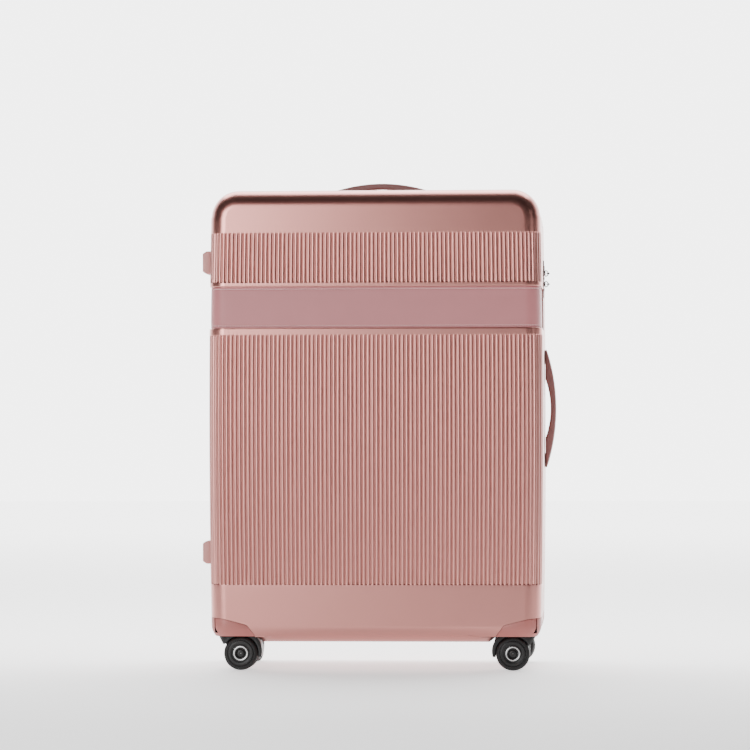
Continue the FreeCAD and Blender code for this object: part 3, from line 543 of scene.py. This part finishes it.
def corner_tool(side, half):
    """The region of a wheel housing, with the seam's gap."""
    seam = [(188.0, 56.0), (200.0, 72.0), (217.0, 76.5), (236.0, 81.5), (262.0, 84.0), (300.0, 87.0)]
    points = [(STEP_HALF - SEAM_GAP, 30.0)]
    points += [(x - SEAM_GAP * 0.6, z + SEAM_GAP) for x, z in seam] + [(300.0, 30.0)]
    near, far = HOUSING_INNER - SEAM_GAP * 0.4, 175.0
    y0, y1 = (-far, -near) if half == "front" else (near, far)
    verts, faces = prism_mesh([(x * side, z) for x, z in points], y0, y1)
    return new_object("corner_tool", verts, faces, SHELL)


def box_tool(low, high):
    """A box to cut with."""
    verts, faces = cube_mesh(low, high)
    return new_object("box_tool", verts, faces, SHELL)


front_shell = shell("shell_front", "front", FRONT_EDGE, ((135.0, 524.0), (605.0, 683.0)), True, 60.0)
carve(front_shell, [corner_tool(s, "front") for s in (-1, 1)])
shade(front_shell, 50.0)
show(front_shell, "front_half", "shell_paint", "front_shell")

# The rear shell is open for the trolley's bezel, the lock and the ends of both carry handles.
rear_shell = shell("shell_rear", "rear", REAR_EDGE, ((135.0, 683.0),), False, 70.0)
tools = [corner_tool(s, "rear") for s in (-1, 1)]
tools.append(box_tool((-99.9, 108.1, 725.0), (99.9, 135.9, 760.0)))
tools.append(box_tool((240.0, 7.8, 585.8), (270.0, 34.2, 646.2)))
for u in (-HANDLE_MOUNT, HANDLE_MOUNT):
    y0, y1, z = HANDLE_Y - 12.2, HANDLE_Y + 12.2, SIDE_HANDLE_Z + u
    tools.append(box_tool((u - 8.2, y0, 730.0), (u + 8.2, y1, 760.0)))
    tools.append(box_tool((240.0, y0, z - 8.2), (270.0, y1, z + 8.2)))
carve(rear_shell, tools)
shade(rear_shell, 50.0)
show(rear_shell, "rear_half", "shell_paint", "rear_shell")


# ------------------------------------------------------------------ outline of the case
def case_outline(inset, depth_y):
    """Points round the case's outline in one plane, drawn in by inset, from the middle of the
    underside and up the right side, with the place along it and the outward normal."""
    low = STEP_Z + inset
    pts = [(i * 5.0, BOTTOM + inset, 0.0, -1.0) for i in range(35)]
    pts.append((BELLY_HALF - inset, BOTTOM + inset, 0.3, -0.95))
    pts.append((STEP_HALF - inset * 0.6, low, 0.3, -0.95))
    radius = CORNER_RADIUS - inset
    start = math.asin((BOTTOM + CORNER_RADIUS - low) / radius)
    for x in (195.0, 205.0, 215.0, 225.0, 230.0, 238.0):
        if x < CORNER_CENTRE + radius * math.cos(start) - 1.0:
            pts.append((x, low, 0.0, -1.0))
    for i in range(9):
        a = -start * (1 - i / 8)
        pts.append((CORNER_CENTRE + radius * math.cos(a), BOTTOM + CORNER_RADIUS + radius * math.sin(a),
                    math.cos(a), math.sin(a)))
    z = 80.0
    while z < TOP - TOP_RADIUS:
        pts.append((half_width(z) - inset, z, 1.0, 0.0))
        z += 6.0
    for i in range(19):
        a = math.pi / 2 * i / 18
        pts.append((TOP_CENTRE + (TOP_RADIUS - inset) * math.cos(a),
                    TOP - TOP_RADIUS + (TOP_RADIUS - inset) * math.sin(a), math.cos(a), math.sin(a)))
    x = 208.0
    while x > 0:
        pts.append((x, TOP - inset, 0.0, 1.0))
        x -= 6.0
    left = [(-x, z, -nx, nz) for x, z, nx, nz in reversed(pts) if x > 0.0]
    return [(x, depth_y, z, nx, nz) for x, z, nx, nz in pts + left]


def walk(points, pitch, closed=True):
    """Evenly spaced places along a run of points, each with the way the run goes there. Values
    after x, y and z, such as a normal, are carried along."""
    run = points + points[:1] if closed else points
    out, carry = [], 0.0
    for a, b in zip(run, run[1:]):
        length = math.dist(a[:3], b[:3])
        if length < 1e-6:
            continue
        s = carry
        while s < length:
            f = s / length
            spot = [p * (1 - f) + q * f for p, q in zip(a, b)]
            direction = [(q - p) / length for p, q in zip(a[:3], b[:3])]
            out.append((spot, direction))
            s += pitch
        carry = s - length
    return out


def zip_teeth(half):
    """The row of moulded teeth on one half's tape: each a rounded block that leans over the
    zip plane's middle."""
    sy = -1.0 if half == "front" else 1.0
    verts, faces = [], []
    for (x, _, z, nx, nz), way in walk(case_outline(1.9, 0.0), 2.6):
        if x < -245.0 and 90.0 < z < 700.0:
            continue
        if half == "rear":
            x, z = x + way[0] * 1.3, z + way[2] * 1.3
        base = len(verts)
        for y, w, h in ((0.25, 0.50, 0.55), (0.45, 0.70, 0.95), (1.2, 0.85, 1.2), (2.1, 0.6, 1.0),
                        (3.4, 0.45, 0.5)):
            for dw, dn in ((-w, 0.0), (-w * 0.75, h), (w * 0.75, h), (w, 0.0), (w * 0.75, -h), (-w * 0.75, -h)):
                verts.append((x + way[0] * dw + nx * (dn - 0.6), sy * y, z + way[2] * dw + nz * (dn - 0.6)))
        faces += bead_faces(base)
    piece(f"zip_teeth_{half}", verts, faces, COIL, 50.0, f"{half}_half", "zip_fabric")


zip_teeth("front")
zip_teeth("rear")
softened("front_zip", 0.25, "front_half", ZIP, 1)
softened("rear_zip", 0.25, "rear_half", ZIP, 1)


# ------------------------------------------------------------------ leather band
def edge_rounding(curve):
    """Some points over the front's edge rounding and their normals, as (across, depth) pairs."""
    picks = range(0, len(curve), 3)
    angles = [math.pi / 2 * i / (len(curve) - 1) for i in picks]
    return [curve[i] for i in picks], [(math.cos(a), math.sin(a)) for a in angles]


def band():
    """The leather strip in the front shell's channel: rounded edges, a stitched hem along both
    long edges and a soft swell between them."""
    surface = CHANNEL - LEATHER
    rows = []
    low, high = BAND_LOW + 0.5, BAND_HIGH - 0.5
    for d, h in ((0.0, -1.1), (0.05, -0.55), (0.35, -0.15), (0.9, 0.0), (1.8, 0.05), (2.9, 0.02),
                 (3.25, -0.28), (3.5, -0.34), (3.75, -0.28), (4.1, 0.02), (5.5, 0.12), (9.0, 0.20),
                 (18.0, 0.28), (27.0, 0.30)):
        rows.append((low + d, h))
        rows.append((high - d, h))
    rows.append(((low + high) / 2, 0.3))
    rows.sort()
    grid = []
    for z, h in rows:
        width, curve = section(z, FRONT_EDGE)
        turn, turn_normals = edge_rounding(curve)
        path = [(width, depth) for depth in (18.62, 18.9, 19.6, 22.0, 40.0, 70.0, 100.0, 120.0)]
        normals = [(1.0, 0.0)] * len(path) + turn_normals
        path += turn
        x = width - FRONT_EDGE - 8.0
        while x > 0:
            path.append((x, DEPTH))
            x -= 8.0
        path.append((0.0, DEPTH))
        normals += [(0.0, 1.0)] * (len(path) - len(normals))
        lifts = [-1.1, -0.5, -0.12] + [0.0] * (len(path) - 3)
        line = []
        for (x, depth), (nx, ny), lift in zip(path, normals, lifts):
            rise = min(h, 0.0) + min(lift, 0.0) - surface + (h if h > 0 and lift == 0.0 else 0.0)
            line.append((x + nx * rise, -(depth + ny * rise), z))
        line += [(-x, y, z) for x, y, z in reversed(line[:-1])]
        grid.append(line)
    verts = [p for line in grid for p in line]
    thing = new_object("leather_band_skin", verts, grid_faces(len(grid), len(grid[0])), BAND, 60.0)
    clean(thing, 0.000005)
    orient(thing, 1, -1)
    thicken(thing, 1.2)
    shade(thing, 60.0)
    show(thing, "front_half", "band_leather", "leather_band")


band()


def stitches(name, runs, length, gap, radius, lift, body, slot_name):
    """Rows of stitches: each run is a list of points with their normals, and every stitch is a
    small rounded pad that dips into the leather at both ends."""
    verts, faces = [], []
    for run in runs:
        for spot, way in walk(run, length + gap, closed=False):
            place, normal, way = Vector(spot[:3]), Vector(spot[3:]).normalized(), Vector(way)
            side = way.cross(normal).normalized()
            base = len(verts)
            for t, r, h in ((-0.5, 0.45, -0.5), (-0.36, 0.9, 0.25), (0.0, 1.0, 0.55), (0.36, 0.9, 0.25),
                            (0.5, 0.45, -0.5)):
                centre = place + way * (t * length) + normal * (h * radius + lift - radius)
                for c in range(6):
                    a = math.pi * 2 * c / 6
                    p = centre + side * (math.cos(a) * r * radius) + normal * (math.sin(a) * r * radius)
                    verts.append(tuple(p))
            faces += bead_faces(base)
    piece(name, verts, faces, THREAD, 60.0, body, slot_name)


def band_run(z):
    """The line of a hem round the band at a height."""
    width, curve = section(z, FRONT_EDGE)
    surface = CHANNEL - LEATHER
    turn, turn_normals = edge_rounding(curve)
    path = [(width, 22.0), (width, 60.0), (width, 100.0), (width, 125.0)] + turn + [(0.0, DEPTH)]
    normals = [(1.0, 0.0)] * 4 + turn_normals + [(0.0, 1.0)]
    right = [(x - nx * surface, -(d - ny * surface), z, nx, -ny, 0.0)
             for (x, d), (nx, ny) in zip(path, normals)]
    left = [(-x, y, zz, -nx, ny, nz) for x, y, zz, nx, ny, nz in reversed(right[:-1])]
    return right + left


stitches("band_stitches", [band_run(BAND_LOW + 4.0), band_run(BAND_HIGH - 4.0)], 2.5, 1.5, 0.42, 0.15,
         "front_half", "band_leather")


# ------------------------------------------------------------------ housings, feet and lining
for half_name in ("front", "rear"):
    half_body = f"{half_name}_half"
    for side_name in ("left", "right"):
        softened(f"wheel_housing_{half_name}_{side_name}", 0.3, half_body, HOUSING, 2)
    softened(f"{half_name}_side_feet", 1.2, half_body, FOOT, 3)
    softened(f"{half_name}_housing_screws", 0.2, half_body, STEEL, 1)
    softened(f"{half_name}_lining", 0.4, half_body, LINING, 1)
softened("packing_straps", 0.3, "rear_half", WEBBING, 1)


def strap_end(name, y, *edge):
    """The webbing from a packing strap's end to its anchor at the side of the lining."""
    wall, floor, lean = 251.5, 93.0, math.radians(48.0)
    near, far = [], []
    for x, z in edge:
        dx, dz = math.copysign(math.cos(lean), x), math.copysign(math.sin(lean), z - 405.0)
        run = (wall - abs(x)) / math.cos(lean)
        run_down = (z - floor) / math.sin(lean)
        near.append((x - 5.0 * dx, z - 5.0 * dz))
        if dz < 0.0 and run_down < run:
            far += [(math.copysign(wall, x), floor), (x + run_down * dx, floor)]
        else:
            far.append((x + run * dx, z + run * dz))
    verts, faces = prism_mesh([near[0]] + far + [near[1]], y + 0.15, y + 1.25)
    piece(f"strap_end_{name}", verts, faces, WEBBING, 40.0, "rear_half", "strap_webbing")


strap_end("upper_right", 12.0, (194.0, 620.5), (175.5, 637.2))
strap_end("lower_right", 10.0, (194.0, 189.5), (175.5, 172.8))
strap_end("upper_left", 10.0, (-212.6, 603.8), (-194.0, 620.5))
strap_end("lower_left", 12.0, (-212.6, 206.2), (-194.0, 189.5))


def pocket_flap(half, side):
    """The cloth flap that closes the space over a wheel housing towards the zip."""
    sy = -1.0 if half == "front" else 1.0
    corners = [(169.5, 59.0), (187.0, 58.4), (243.0, 58.4), (248.0, 60.5), (251.5, 65.0), (253.0, 72.0),
               (253.4, 84.0), (253.6, 92.3), (169.5, 92.3)]
    verts, faces = prism_mesh([(side * x, z) for x, z in corners], sy * 6.0, sy * 6.8)
    name = f"lining_flap_{half}_{'left' if side < 0 else 'right'}"
    piece(name, verts, faces, LINING, 40.0, f"{half}_half", "lining_fabric")


for half_name in ("front", "rear"):
    for flap_side in (-1, 1):
        pocket_flap(half_name, flap_side)


# ------------------------------------------------------------------ casters
# Each caster's side in x and y, and how far it is turned at rest, in degrees.
CASTERS = {"front_left": (-1, -1, 0.0), "front_right": (1, -1, 180.0),
           "rear_left": (-1, 1, 80.0), "rear_right": (1, 1, 165.0)}
SWIVEL_X, SWIVEL_Y = 228.0, 100.0
WHEEL_RADIUS, WHEEL_WIDTH, TRAIL, WEB, WHEEL_GAP = 26.5, 17.0, 15.0, 4.3, 0.6


def turned(points, name):
    """Moves points drawn about a caster's swivel axis, its wheels trailing towards +x, to the
    caster's place."""
    sx, sy, turn = CASTERS[name]
    c, s = math.cos(math.radians(turn)), math.sin(math.radians(turn))
    return [(sx * SWIVEL_X + x * c - y * s, sy * SWIVEL_Y + x * s + y * c, z) for x, y, z in points]


def lathe(profile, steps, centre, way):
    """A solid of revolution about an axle along y: profile is (radius, distance along the axle)."""
    verts, faces = [], []
    n = len(profile)
    for k in range(steps):
        a = math.pi * 2 * k / steps
        for r, w in profile:
            verts.append((centre[0] + r * math.cos(a), centre[1] + way * w, centre[2] + r * math.sin(a)))
    for k in range(steps):
        for i in range(n):
            a, b = k * n + i, k * n + (i + 1) % n
            c, d = ((k + 1) % steps) * n + (i + 1) % n, ((k + 1) % steps) * n + i
            faces.append((a, b, c, d))
    return verts, faces


# Wheel profiles: radius, and distance from the wheel's outer face.
TYRE_PROFILE = ((20.6, 0.4), (20.9, 0.15), (22.4, 0.0), (23.6, 0.25), (24.9, 1.0), (25.8, 2.2), (26.3, 3.8),
                (26.5, 5.5), (26.5, 7.6), (26.2, 7.9), (25.9, 8.5), (26.2, 9.1), (26.5, 9.4), (26.5, 11.5),
                (26.3, 13.2), (25.8, 14.8), (24.9, 16.0), (23.6, 16.75), (22.4, 17.0), (20.9, 16.85),
                (20.6, 16.6))
HUB_PROFILE = ((3.1, 3.0), (6.2, 3.0), (6.6, 2.8), (6.9, 2.3), (7.2, 1.3), (7.7, 1.0), (12.6, 0.7),
               (13.1, 0.8), (13.4, 1.3), (13.8, 1.5), (14.4, 1.3), (14.8, 0.8), (15.4, 0.65), (18.6, 0.55),
               (19.3, 0.7), (19.7, 1.2), (20.1, 1.3), (20.45, 1.0), (20.5, 1.6), (20.5, 16.0), (20.0, 16.4),
               (10.0, 16.4), (9.5, 15.6), (3.1, 15.6))
RING_PROFILE = ((9.3, 0.75), (9.4, 0.45), (9.6, 0.36), (11.0, 0.34), (11.2, 0.42), (11.3, 0.72), (11.2, 1.0),
                (9.4, 1.1))
CAP_PROFILE = ((0.4, 1.55), (2.6, 1.35), (4.6, 1.6), (5.6, 1.9), (6.1, 2.4), (6.1, 2.95), (0.4, 2.95))


def wheel(name, face):
    """One wheel of a twin: grooved tyre, dished hub with a plain silver ring and a cap."""
    way = -1.0 if face == "outer" else 1.0
    centre = (TRAIL, way * (WEB + WHEEL_GAP + WHEEL_WIDTH), WHEEL_RADIUS)
    body = f"wheel_{name}_{face}"
    label = f"{name}_{face}"
    for kind, profile, finish, steps, slot_name, node in (
            ("tyre", TYRE_PROFILE, TYRE, 96, "tyre", f"tyre_{label}"),
            ("hub", HUB_PROFILE, BLACK, 72, "black_plastic", f"hub_{label}"),
            ("hub_ring", RING_PROFILE, STEEL, 72, "steel", None),
            ("hub_cap", CAP_PROFILE, BLACK, 48, "black_plastic", None)):
        verts, faces = lathe(profile, steps, centre, -way)
        thing = new_object(f"{kind}_{label}_look", turned(verts, name), faces, finish, 30.0)
        clean(thing, 0.000001)
        shade(thing, 30.0)
        show(thing, body, slot_name, *([node] if node else []))
    ribs, faces = [], []
    for k in range(10):
        a = math.pi * 2 * k / 10
        base = len(ribs)
        for r, half, w in ((15.2, 0.5, 0.62), (15.2, 0.5, 0.2), (18.8, 0.7, 0.2), (18.8, 0.7, 0.55)):
            for side in (-1, 1):
                x = r * math.cos(a) - side * half * math.sin(a)
                z = r * math.sin(a) + side * half * math.cos(a)
                ribs.append((centre[0] + x, centre[1] - way * w, centre[2] + z))
        faces += [tuple(base + i for i in f)
                  for f in ((0, 1, 3, 2), (2, 3, 5, 4), (4, 5, 7, 6), (6, 7, 1, 0), (0, 2, 4, 6), (1, 7, 5, 3))]
    piece(f"hub_spokes_{label}", turned(ribs, name), faces, BLACK, 30.0, body, "black_plastic")


for caster_name in CASTERS:
    for face_name in ("outer", "inner"):
        wheel(caster_name, face_name)
    softened(f"caster_fork_{caster_name}", 0.9, f"caster_{caster_name}", BLACK, 3)
    softened(f"caster_pins_{caster_name}", 0.3, f"caster_{caster_name}", STEEL, 2)


# ------------------------------------------------------------------ carry handles
def handle_curve(rise, rest, steps=72):
    """The grip's outer and inner edges from end to end: (along, outer height, inner height)."""
    half, gap, thick = HANDLE_HALF, 47.0, 8.7
    shoulder = rest + 2.0

    def bow(chord, height):
        return (chord * chord + height * height) / (2.0 * height)

    outer, inner = bow(half, rise - shoulder), bow(gap, rise - thick - rest)
    run = []
    for i in range(steps + 1):
        u = -half + 2 * half * i / steps
        high = shoulder + math.sqrt(max(0.0, outer ** 2 - u * u)) - (outer - (rise - shoulder))
        low = rest
        if abs(u) < gap:
            low = rest + math.sqrt(inner ** 2 - u * u) - (inner - (rise - thick - rest))
        run.append((u, high, low))
    return run


def carry_handle(name, place, rise, rest, body):
    """A padded leather carry handle with rounded edges and a stitched hem down both sides."""
    rings = []
    for u, high, low in handle_curve(rise, rest):
        w = 13.0 * (1.0 - 0.10 * (abs(u) / HANDLE_HALF) ** 6)
        r = min(2.6, (high - low) * 0.46)
        ring = []
        for cx, cz, start in ((w - r, low + r, -90), (w - r, high - r, 0), (r - w, high - r, 90),
                              (r - w, low + r, 180)):
            for k in range(5):
                a = math.radians(start + 90 * k / 4)
                ring.append((u, cx + r * math.cos(a), cz + r * math.sin(a)))
            if start == 0:
                for t in (0.82, 0.72, 0.62, 0.3, 0.0, -0.3, -0.62, -0.72, -0.82):
                    swell = min(0.55 * (1 - t * t), 0.35) if abs(t) < 0.70 else 0.0
                    dip = -0.28 if abs(abs(t) - 0.72) < 0.01 else 0.0
                    ring.append((u, t * (w - r), high + dip + swell - 0.35 * (abs(u) > 90.0)))
        rings.append(ring)
    n = len(rings[0])
    verts = [p for ring in rings for p in ring]
    faces = []
    for j in range(len(rings) - 1):
        for i in range(n):
            a, b = j * n + i, j * n + (i + 1) % n
            faces.append((a, b, b + n, a + n))
    faces.append(tuple(range(n - 1, -1, -1)))
    faces.append(tuple((len(rings) - 1) * n + i for i in range(n)))
    for end in (-HANDLE_MOUNT, HANDLE_MOUNT):
        leg, leg_faces = cube_mesh((end - 4.4, -8.4, -15.9), (end + 4.4, 8.4, rest + 1.5))
        faces += [tuple(len(verts) + i for i in f) for f in leg_faces]
        verts += leg
    piece(name + "_leather", [place(p) for p in verts], faces, GRIP_LEATHER, 50.0, body, "handle_leather", name)
    runs = []
    for hem in (-0.72 * 10.4, 0.72 * 10.4):
        run = []
        for u, high, _ in handle_curve(rise, rest, steps=120):
            if abs(u) <= 86.0:
                spot, ahead = place((u, hem, high)), place((u, hem, high + 1.0))
                run.append(spot + tuple(q - p for p, q in zip(spot, ahead)))
        runs.append(run)
    stitches(name + "_stitches", runs, 2.8, 1.2, 0.34, -0.05, body, "handle_leather")


def on_top(p):
    """From (along, across, height) of a handle to its place on top of the case."""
    return (p[0], HANDLE_Y + p[1], TOP + p[2])


def on_side(p):
    """From (along, across, height) of a handle to its place on the side of the case."""
    return (HANDLE_SIDE_X + p[2], HANDLE_Y + p[1], SIDE_HANDLE_Z - p[0])


carry_handle("top_handle", on_top, 22.0, 1.2, "top_carry_handle")
carry_handle("side_handle", on_side, 18.0, 1.1, "side_carry_handle")
softened("top_handle_mounts", 0.25, "rear_half", LOCK, 2)
softened("side_handle_mounts", 0.25, "rear_half", LOCK, 2)


# ------------------------------------------------------------------ lock, sliders and trolley
softened("lock_body", 0.6, "rear_half", LOCK, 3)
softened("lock_button", 0.4, "lock_release", GUNMETAL, 2)
for label in ("upper", "lower"):
    softened(f"zip_slider_{label}", 0.3, f"{label}_slider", GUNMETAL, 2)
    softened(f"zip_pull_{label}", 0.3, f"{label}_pull", GUNMETAL, 2)
softened("trolley_bezel", 0.8, "rear_half", HOUSING, 3)
softened("trolley_bracket", 1.2, "rear_half", BLACK, 2)
softened("trolley_outer_tubes", 0.3, "rear_half", ALUMINIUM, 2)
softened("trolley_lower_stage", 0.3, "trolley_lower", ALUMINIUM, 2)
softened("trolley_upper_stage", 0.3, "trolley_upper", ALUMINIUM, 2)
softened("trolley_grip", 1.2, "trolley_upper", HOUSING, 3)
softened("trolley_button", 0.5, "trolley_push_button", BLACK, 3)


# ------------------------------------------------------------------ fabric hinge
def hinge_tape():
    """The cloth hinge down the left side: it wraps the gap between the halves, pinched into a soft fold on the
    zip plane."""
    rows, columns = 90, 29
    low, high = 105.0, 690.0
    verts = []
    for j in range(rows + 1):
        z = low + (high - low) * j / rows
        wide = half_width(z)
        for i in range(columns):
            y = -3.4 + 6.8 * i / (columns - 1)
            fold = 0.75 * math.exp(-(y / 0.7) ** 2)
            pucker = 0.08 * math.sin(z * 0.55 + y * 2.0)
            verts.append((-(wide - 0.75 - fold + pucker), y, z))
    tape = new_object("hinge_tape", verts, grid_faces(rows + 1, columns), ZIP, 60.0)
    orient(tape, 0, -1)
    thicken(tape, 0.45)
    shade(tape, 60.0)
    return tape


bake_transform(hinge_tape())


# ------------------------------------------------------------------ lock dials
def digit_strokes(digit):
    """A digit as bars on a seven-bar grid: (across, up, half across, half up)."""
    bars = {"a": (0.0, 1.0, 0.42, 0.10), "b": (0.45, 0.5, 0.10, 0.42), "c": (0.45, -0.5, 0.10, 0.42),
            "d": (0.0, -1.0, 0.42, 0.10), "e": (-0.45, -0.5, 0.10, 0.42), "f": (-0.45, 0.5, 0.10, 0.42),
            "g": (0.0, 0.0, 0.42, 0.10)}
    shown = ("abcdef", "bc", "abged", "abgcd", "fgbc", "afgcd", "afgcde", "abc", "abcdefg", "abcdfg")[digit]
    return [bars[k] for k in shown]


def dial(index, z, body):
    """A knurled number wheel with ten raised digits."""
    low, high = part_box(f"lock_dial_{index}")
    cx, cy = (low[0] + high[0]) / 2 / MM, (low[1] + high[1]) / 2 / MM
    radius, half = (high[0] - low[0]) / 2 / MM, (high[2] - low[2]) / 2 / MM
    verts, faces = [], []
    steps, n = 120, 8
    heights = ((-half, -0.5), (-half + 0.3, -0.12), (-half + 0.5, 0.0), (half - 0.5, 0.0), (half - 0.3, -0.12),
               (half, -0.5))
    for k in range(steps):
        a = math.pi * 2 * k / steps
        notch = -0.35 if k % 12 in (5, 6, 7) else -0.05
        for dz, dr in heights:
            r = radius + dr + notch
            verts.append((cx + r * math.cos(a), cy + r * math.sin(a), z + dz))
        for dz in (half, -half):
            verts.append((cx + 1.3 * math.cos(a), cy + 1.3 * math.sin(a), z + dz))
    for k in range(steps):
        here, there = k * n, ((k + 1) % steps) * n
        for i in range(n):
            j = (i + 1) % n
            faces.append((here + i, there + i, there + j, here + j))
    piece(f"dial_wheel_{index}", verts, faces, DIAL, 40.0, body, "dial_plastic", f"lock_dial_{index}")
    marks, mark_faces = [], []
    for digit in range(10):
        angle = math.pi * 2 * digit / 10
        for across, up, half_across, half_up in digit_strokes(digit):
            base = len(marks)
            for r in (radius - 0.2, radius - 0.01):
                for du, dv in ((-1, -1), (1, -1), (1, 1), (-1, 1)):
                    side = (across + du * half_across) * 1.15
                    rise = (up + dv * half_up) * 1.3
                    a = angle + side / radius
                    marks.append((cx + r * math.cos(a), cy + r * math.sin(a), z + rise))
            mark_faces += [tuple(base + q for q in f) for f in CUBE_FACES]
    piece(f"dial_digits_{index}", marks, mark_faces, DIGIT, 30.0, body, "dial_plastic")


for number, height in enumerate((600.0, 609.0, 618.0), start=1):
    dial(number, height, f"dial_{number}")


# ------------------------------------------------------------------ floor, light and camera
def paper_floor():
    """A pale paper floor. It glows behind the case, and less and less towards the front."""
    finish = material("floor_paper", (0.90, 0.90, 0.90), 0.7, vary=0.004, rough_vary=0.02,
                      grain=(300.0, 0.00002, 0.05), specular=0.2)
    tree = finish.node_tree
    shader = tree.nodes["Principled BSDF"]
    coords = tree.nodes.new("ShaderNodeTexCoord")
    split = tree.nodes.new("ShaderNodeSeparateXYZ")
    tree.links.new(coords.outputs["Object"], split.inputs[0])
    glows = []
    for start, end, glow in ((-1.6, 0.9, NEAR_GLOW), (0.4, 9.0, FAR_GLOW)):
        rise = tree.nodes.new("ShaderNodeMapRange")
        rise.interpolation_type = "SMOOTHSTEP"
        for label, value in (("From Min", start), ("From Max", end), ("To Min", 0.0), ("To Max", glow)):
            rise.inputs[label].default_value = value
        tree.links.new(split.outputs["Y"], rise.inputs["Value"])
        glows.append(rise)
    total = tree.nodes.new("ShaderNodeMath")
    total.operation = "ADD"
    for i, rise in enumerate(glows):
        tree.links.new(rise.outputs["Result"], total.inputs[i])
    tree.links.new(total.outputs[0], shader.inputs["Emission Strength"])
    shader.inputs["Emission Color"].default_value = (1.0, 1.0, 1.0, 1.0)
    finish.cycles.emission_sampling = "NONE"
    reach = 16000
    corners = [(-reach, -reach, 0), (reach, -reach, 0), (reach, reach, 0), (-reach, reach, 0)]
    new_object("paper_floor", corners, [(0, 1, 2, 3)], finish)


def studio(front, back):
    """A studio that is dim on the side that the case faces and white on the other."""
    world = bpy.data.worlds.new("studio")
    bpy.context.scene.world = world
    world.use_nodes = True
    tree = world.node_tree
    coords = tree.nodes.new("ShaderNodeTexCoord")
    split = tree.nodes.new("ShaderNodeSeparateXYZ")
    tree.links.new(coords.outputs["Generated"], split.inputs[0])
    fade = tree.nodes.new("ShaderNodeMapRange")
    fade.interpolation_type = "SMOOTHSTEP"
    fade.inputs["From Min"].default_value = 0.1
    fade.inputs["From Max"].default_value = 0.85
    fade.inputs["To Min"].default_value = front
    fade.inputs["To Max"].default_value = back
    tree.links.new(split.outputs["Y"], fade.inputs["Value"])
    glow = tree.nodes["Background"]
    glow.inputs[0].default_value = (1.0, 1.0, 1.0, 1.0)
    tree.links.new(fade.outputs["Result"], glow.inputs[1])


def softbox(name, place, target, size, radiance):
    """A rectangular lamp at a place that looks at a target, both in metres."""
    data = bpy.data.lights.new(name, "AREA")
    data.shape = "RECTANGLE"
    data.size, data.size_y = size
    data.energy = radiance * math.pi * size[0] * size[1]
    thing = bpy.data.objects.new(name, data)
    bpy.context.scene.collection.objects.link(thing)
    thing.location = place
    thing.rotation_euler = (Vector(target) - Vector(place)).to_track_quat("-Z", "Y").to_euler()


def camera(place, yaw, pitch, roll, lens):
    """A camera at a place, turned from looking along +Y by yaw, pitch and roll in degrees."""
    data = bpy.data.cameras.new("camera")
    data.lens = lens
    data.sensor_width = 36.0
    thing = bpy.data.objects.new("camera", data)
    bpy.context.scene.collection.objects.link(thing)
    yaw, pitch, roll = (math.radians(a) for a in (yaw, pitch, roll))
    ahead = Vector((math.sin(yaw) * math.cos(pitch), math.cos(yaw) * math.cos(pitch), math.sin(pitch)))
    right = Vector((math.cos(yaw), -math.sin(yaw), 0.0))
    up = right.cross(ahead)
    right_turned = right * math.cos(roll) + up * math.sin(roll)
    up_turned = up * math.cos(roll) - right * math.sin(roll)
    turn = Matrix((right_turned, up_turned, -ahead)).transposed().to_4x4()
    thing.matrix_world = Matrix.Translation(Vector(place)) @ turn
    bpy.context.scene.camera = thing


NEAR_GLOW, FAR_GLOW = 1.6, 1.7
paper_floor()
studio(0.05, 5.0)
softbox("key", (-1.36, -3.2, 0.95), (0.0, -0.1, 0.50), (1.6, 1.3), 10.0)
softbox("edge_strip", (2.3, -1.5, 0.6), (0.2, -0.1, 0.4), (0.5, 1.7), 0.8)
softbox("above", (0.0, 0.8, 2.4), (0.0, 0.6, 0.0), (3.0, 1.4), 6.5)
camera((0.3520, -5.6306, 0.3547), -3.6717, 1.1090, -0.0877, 169.5)
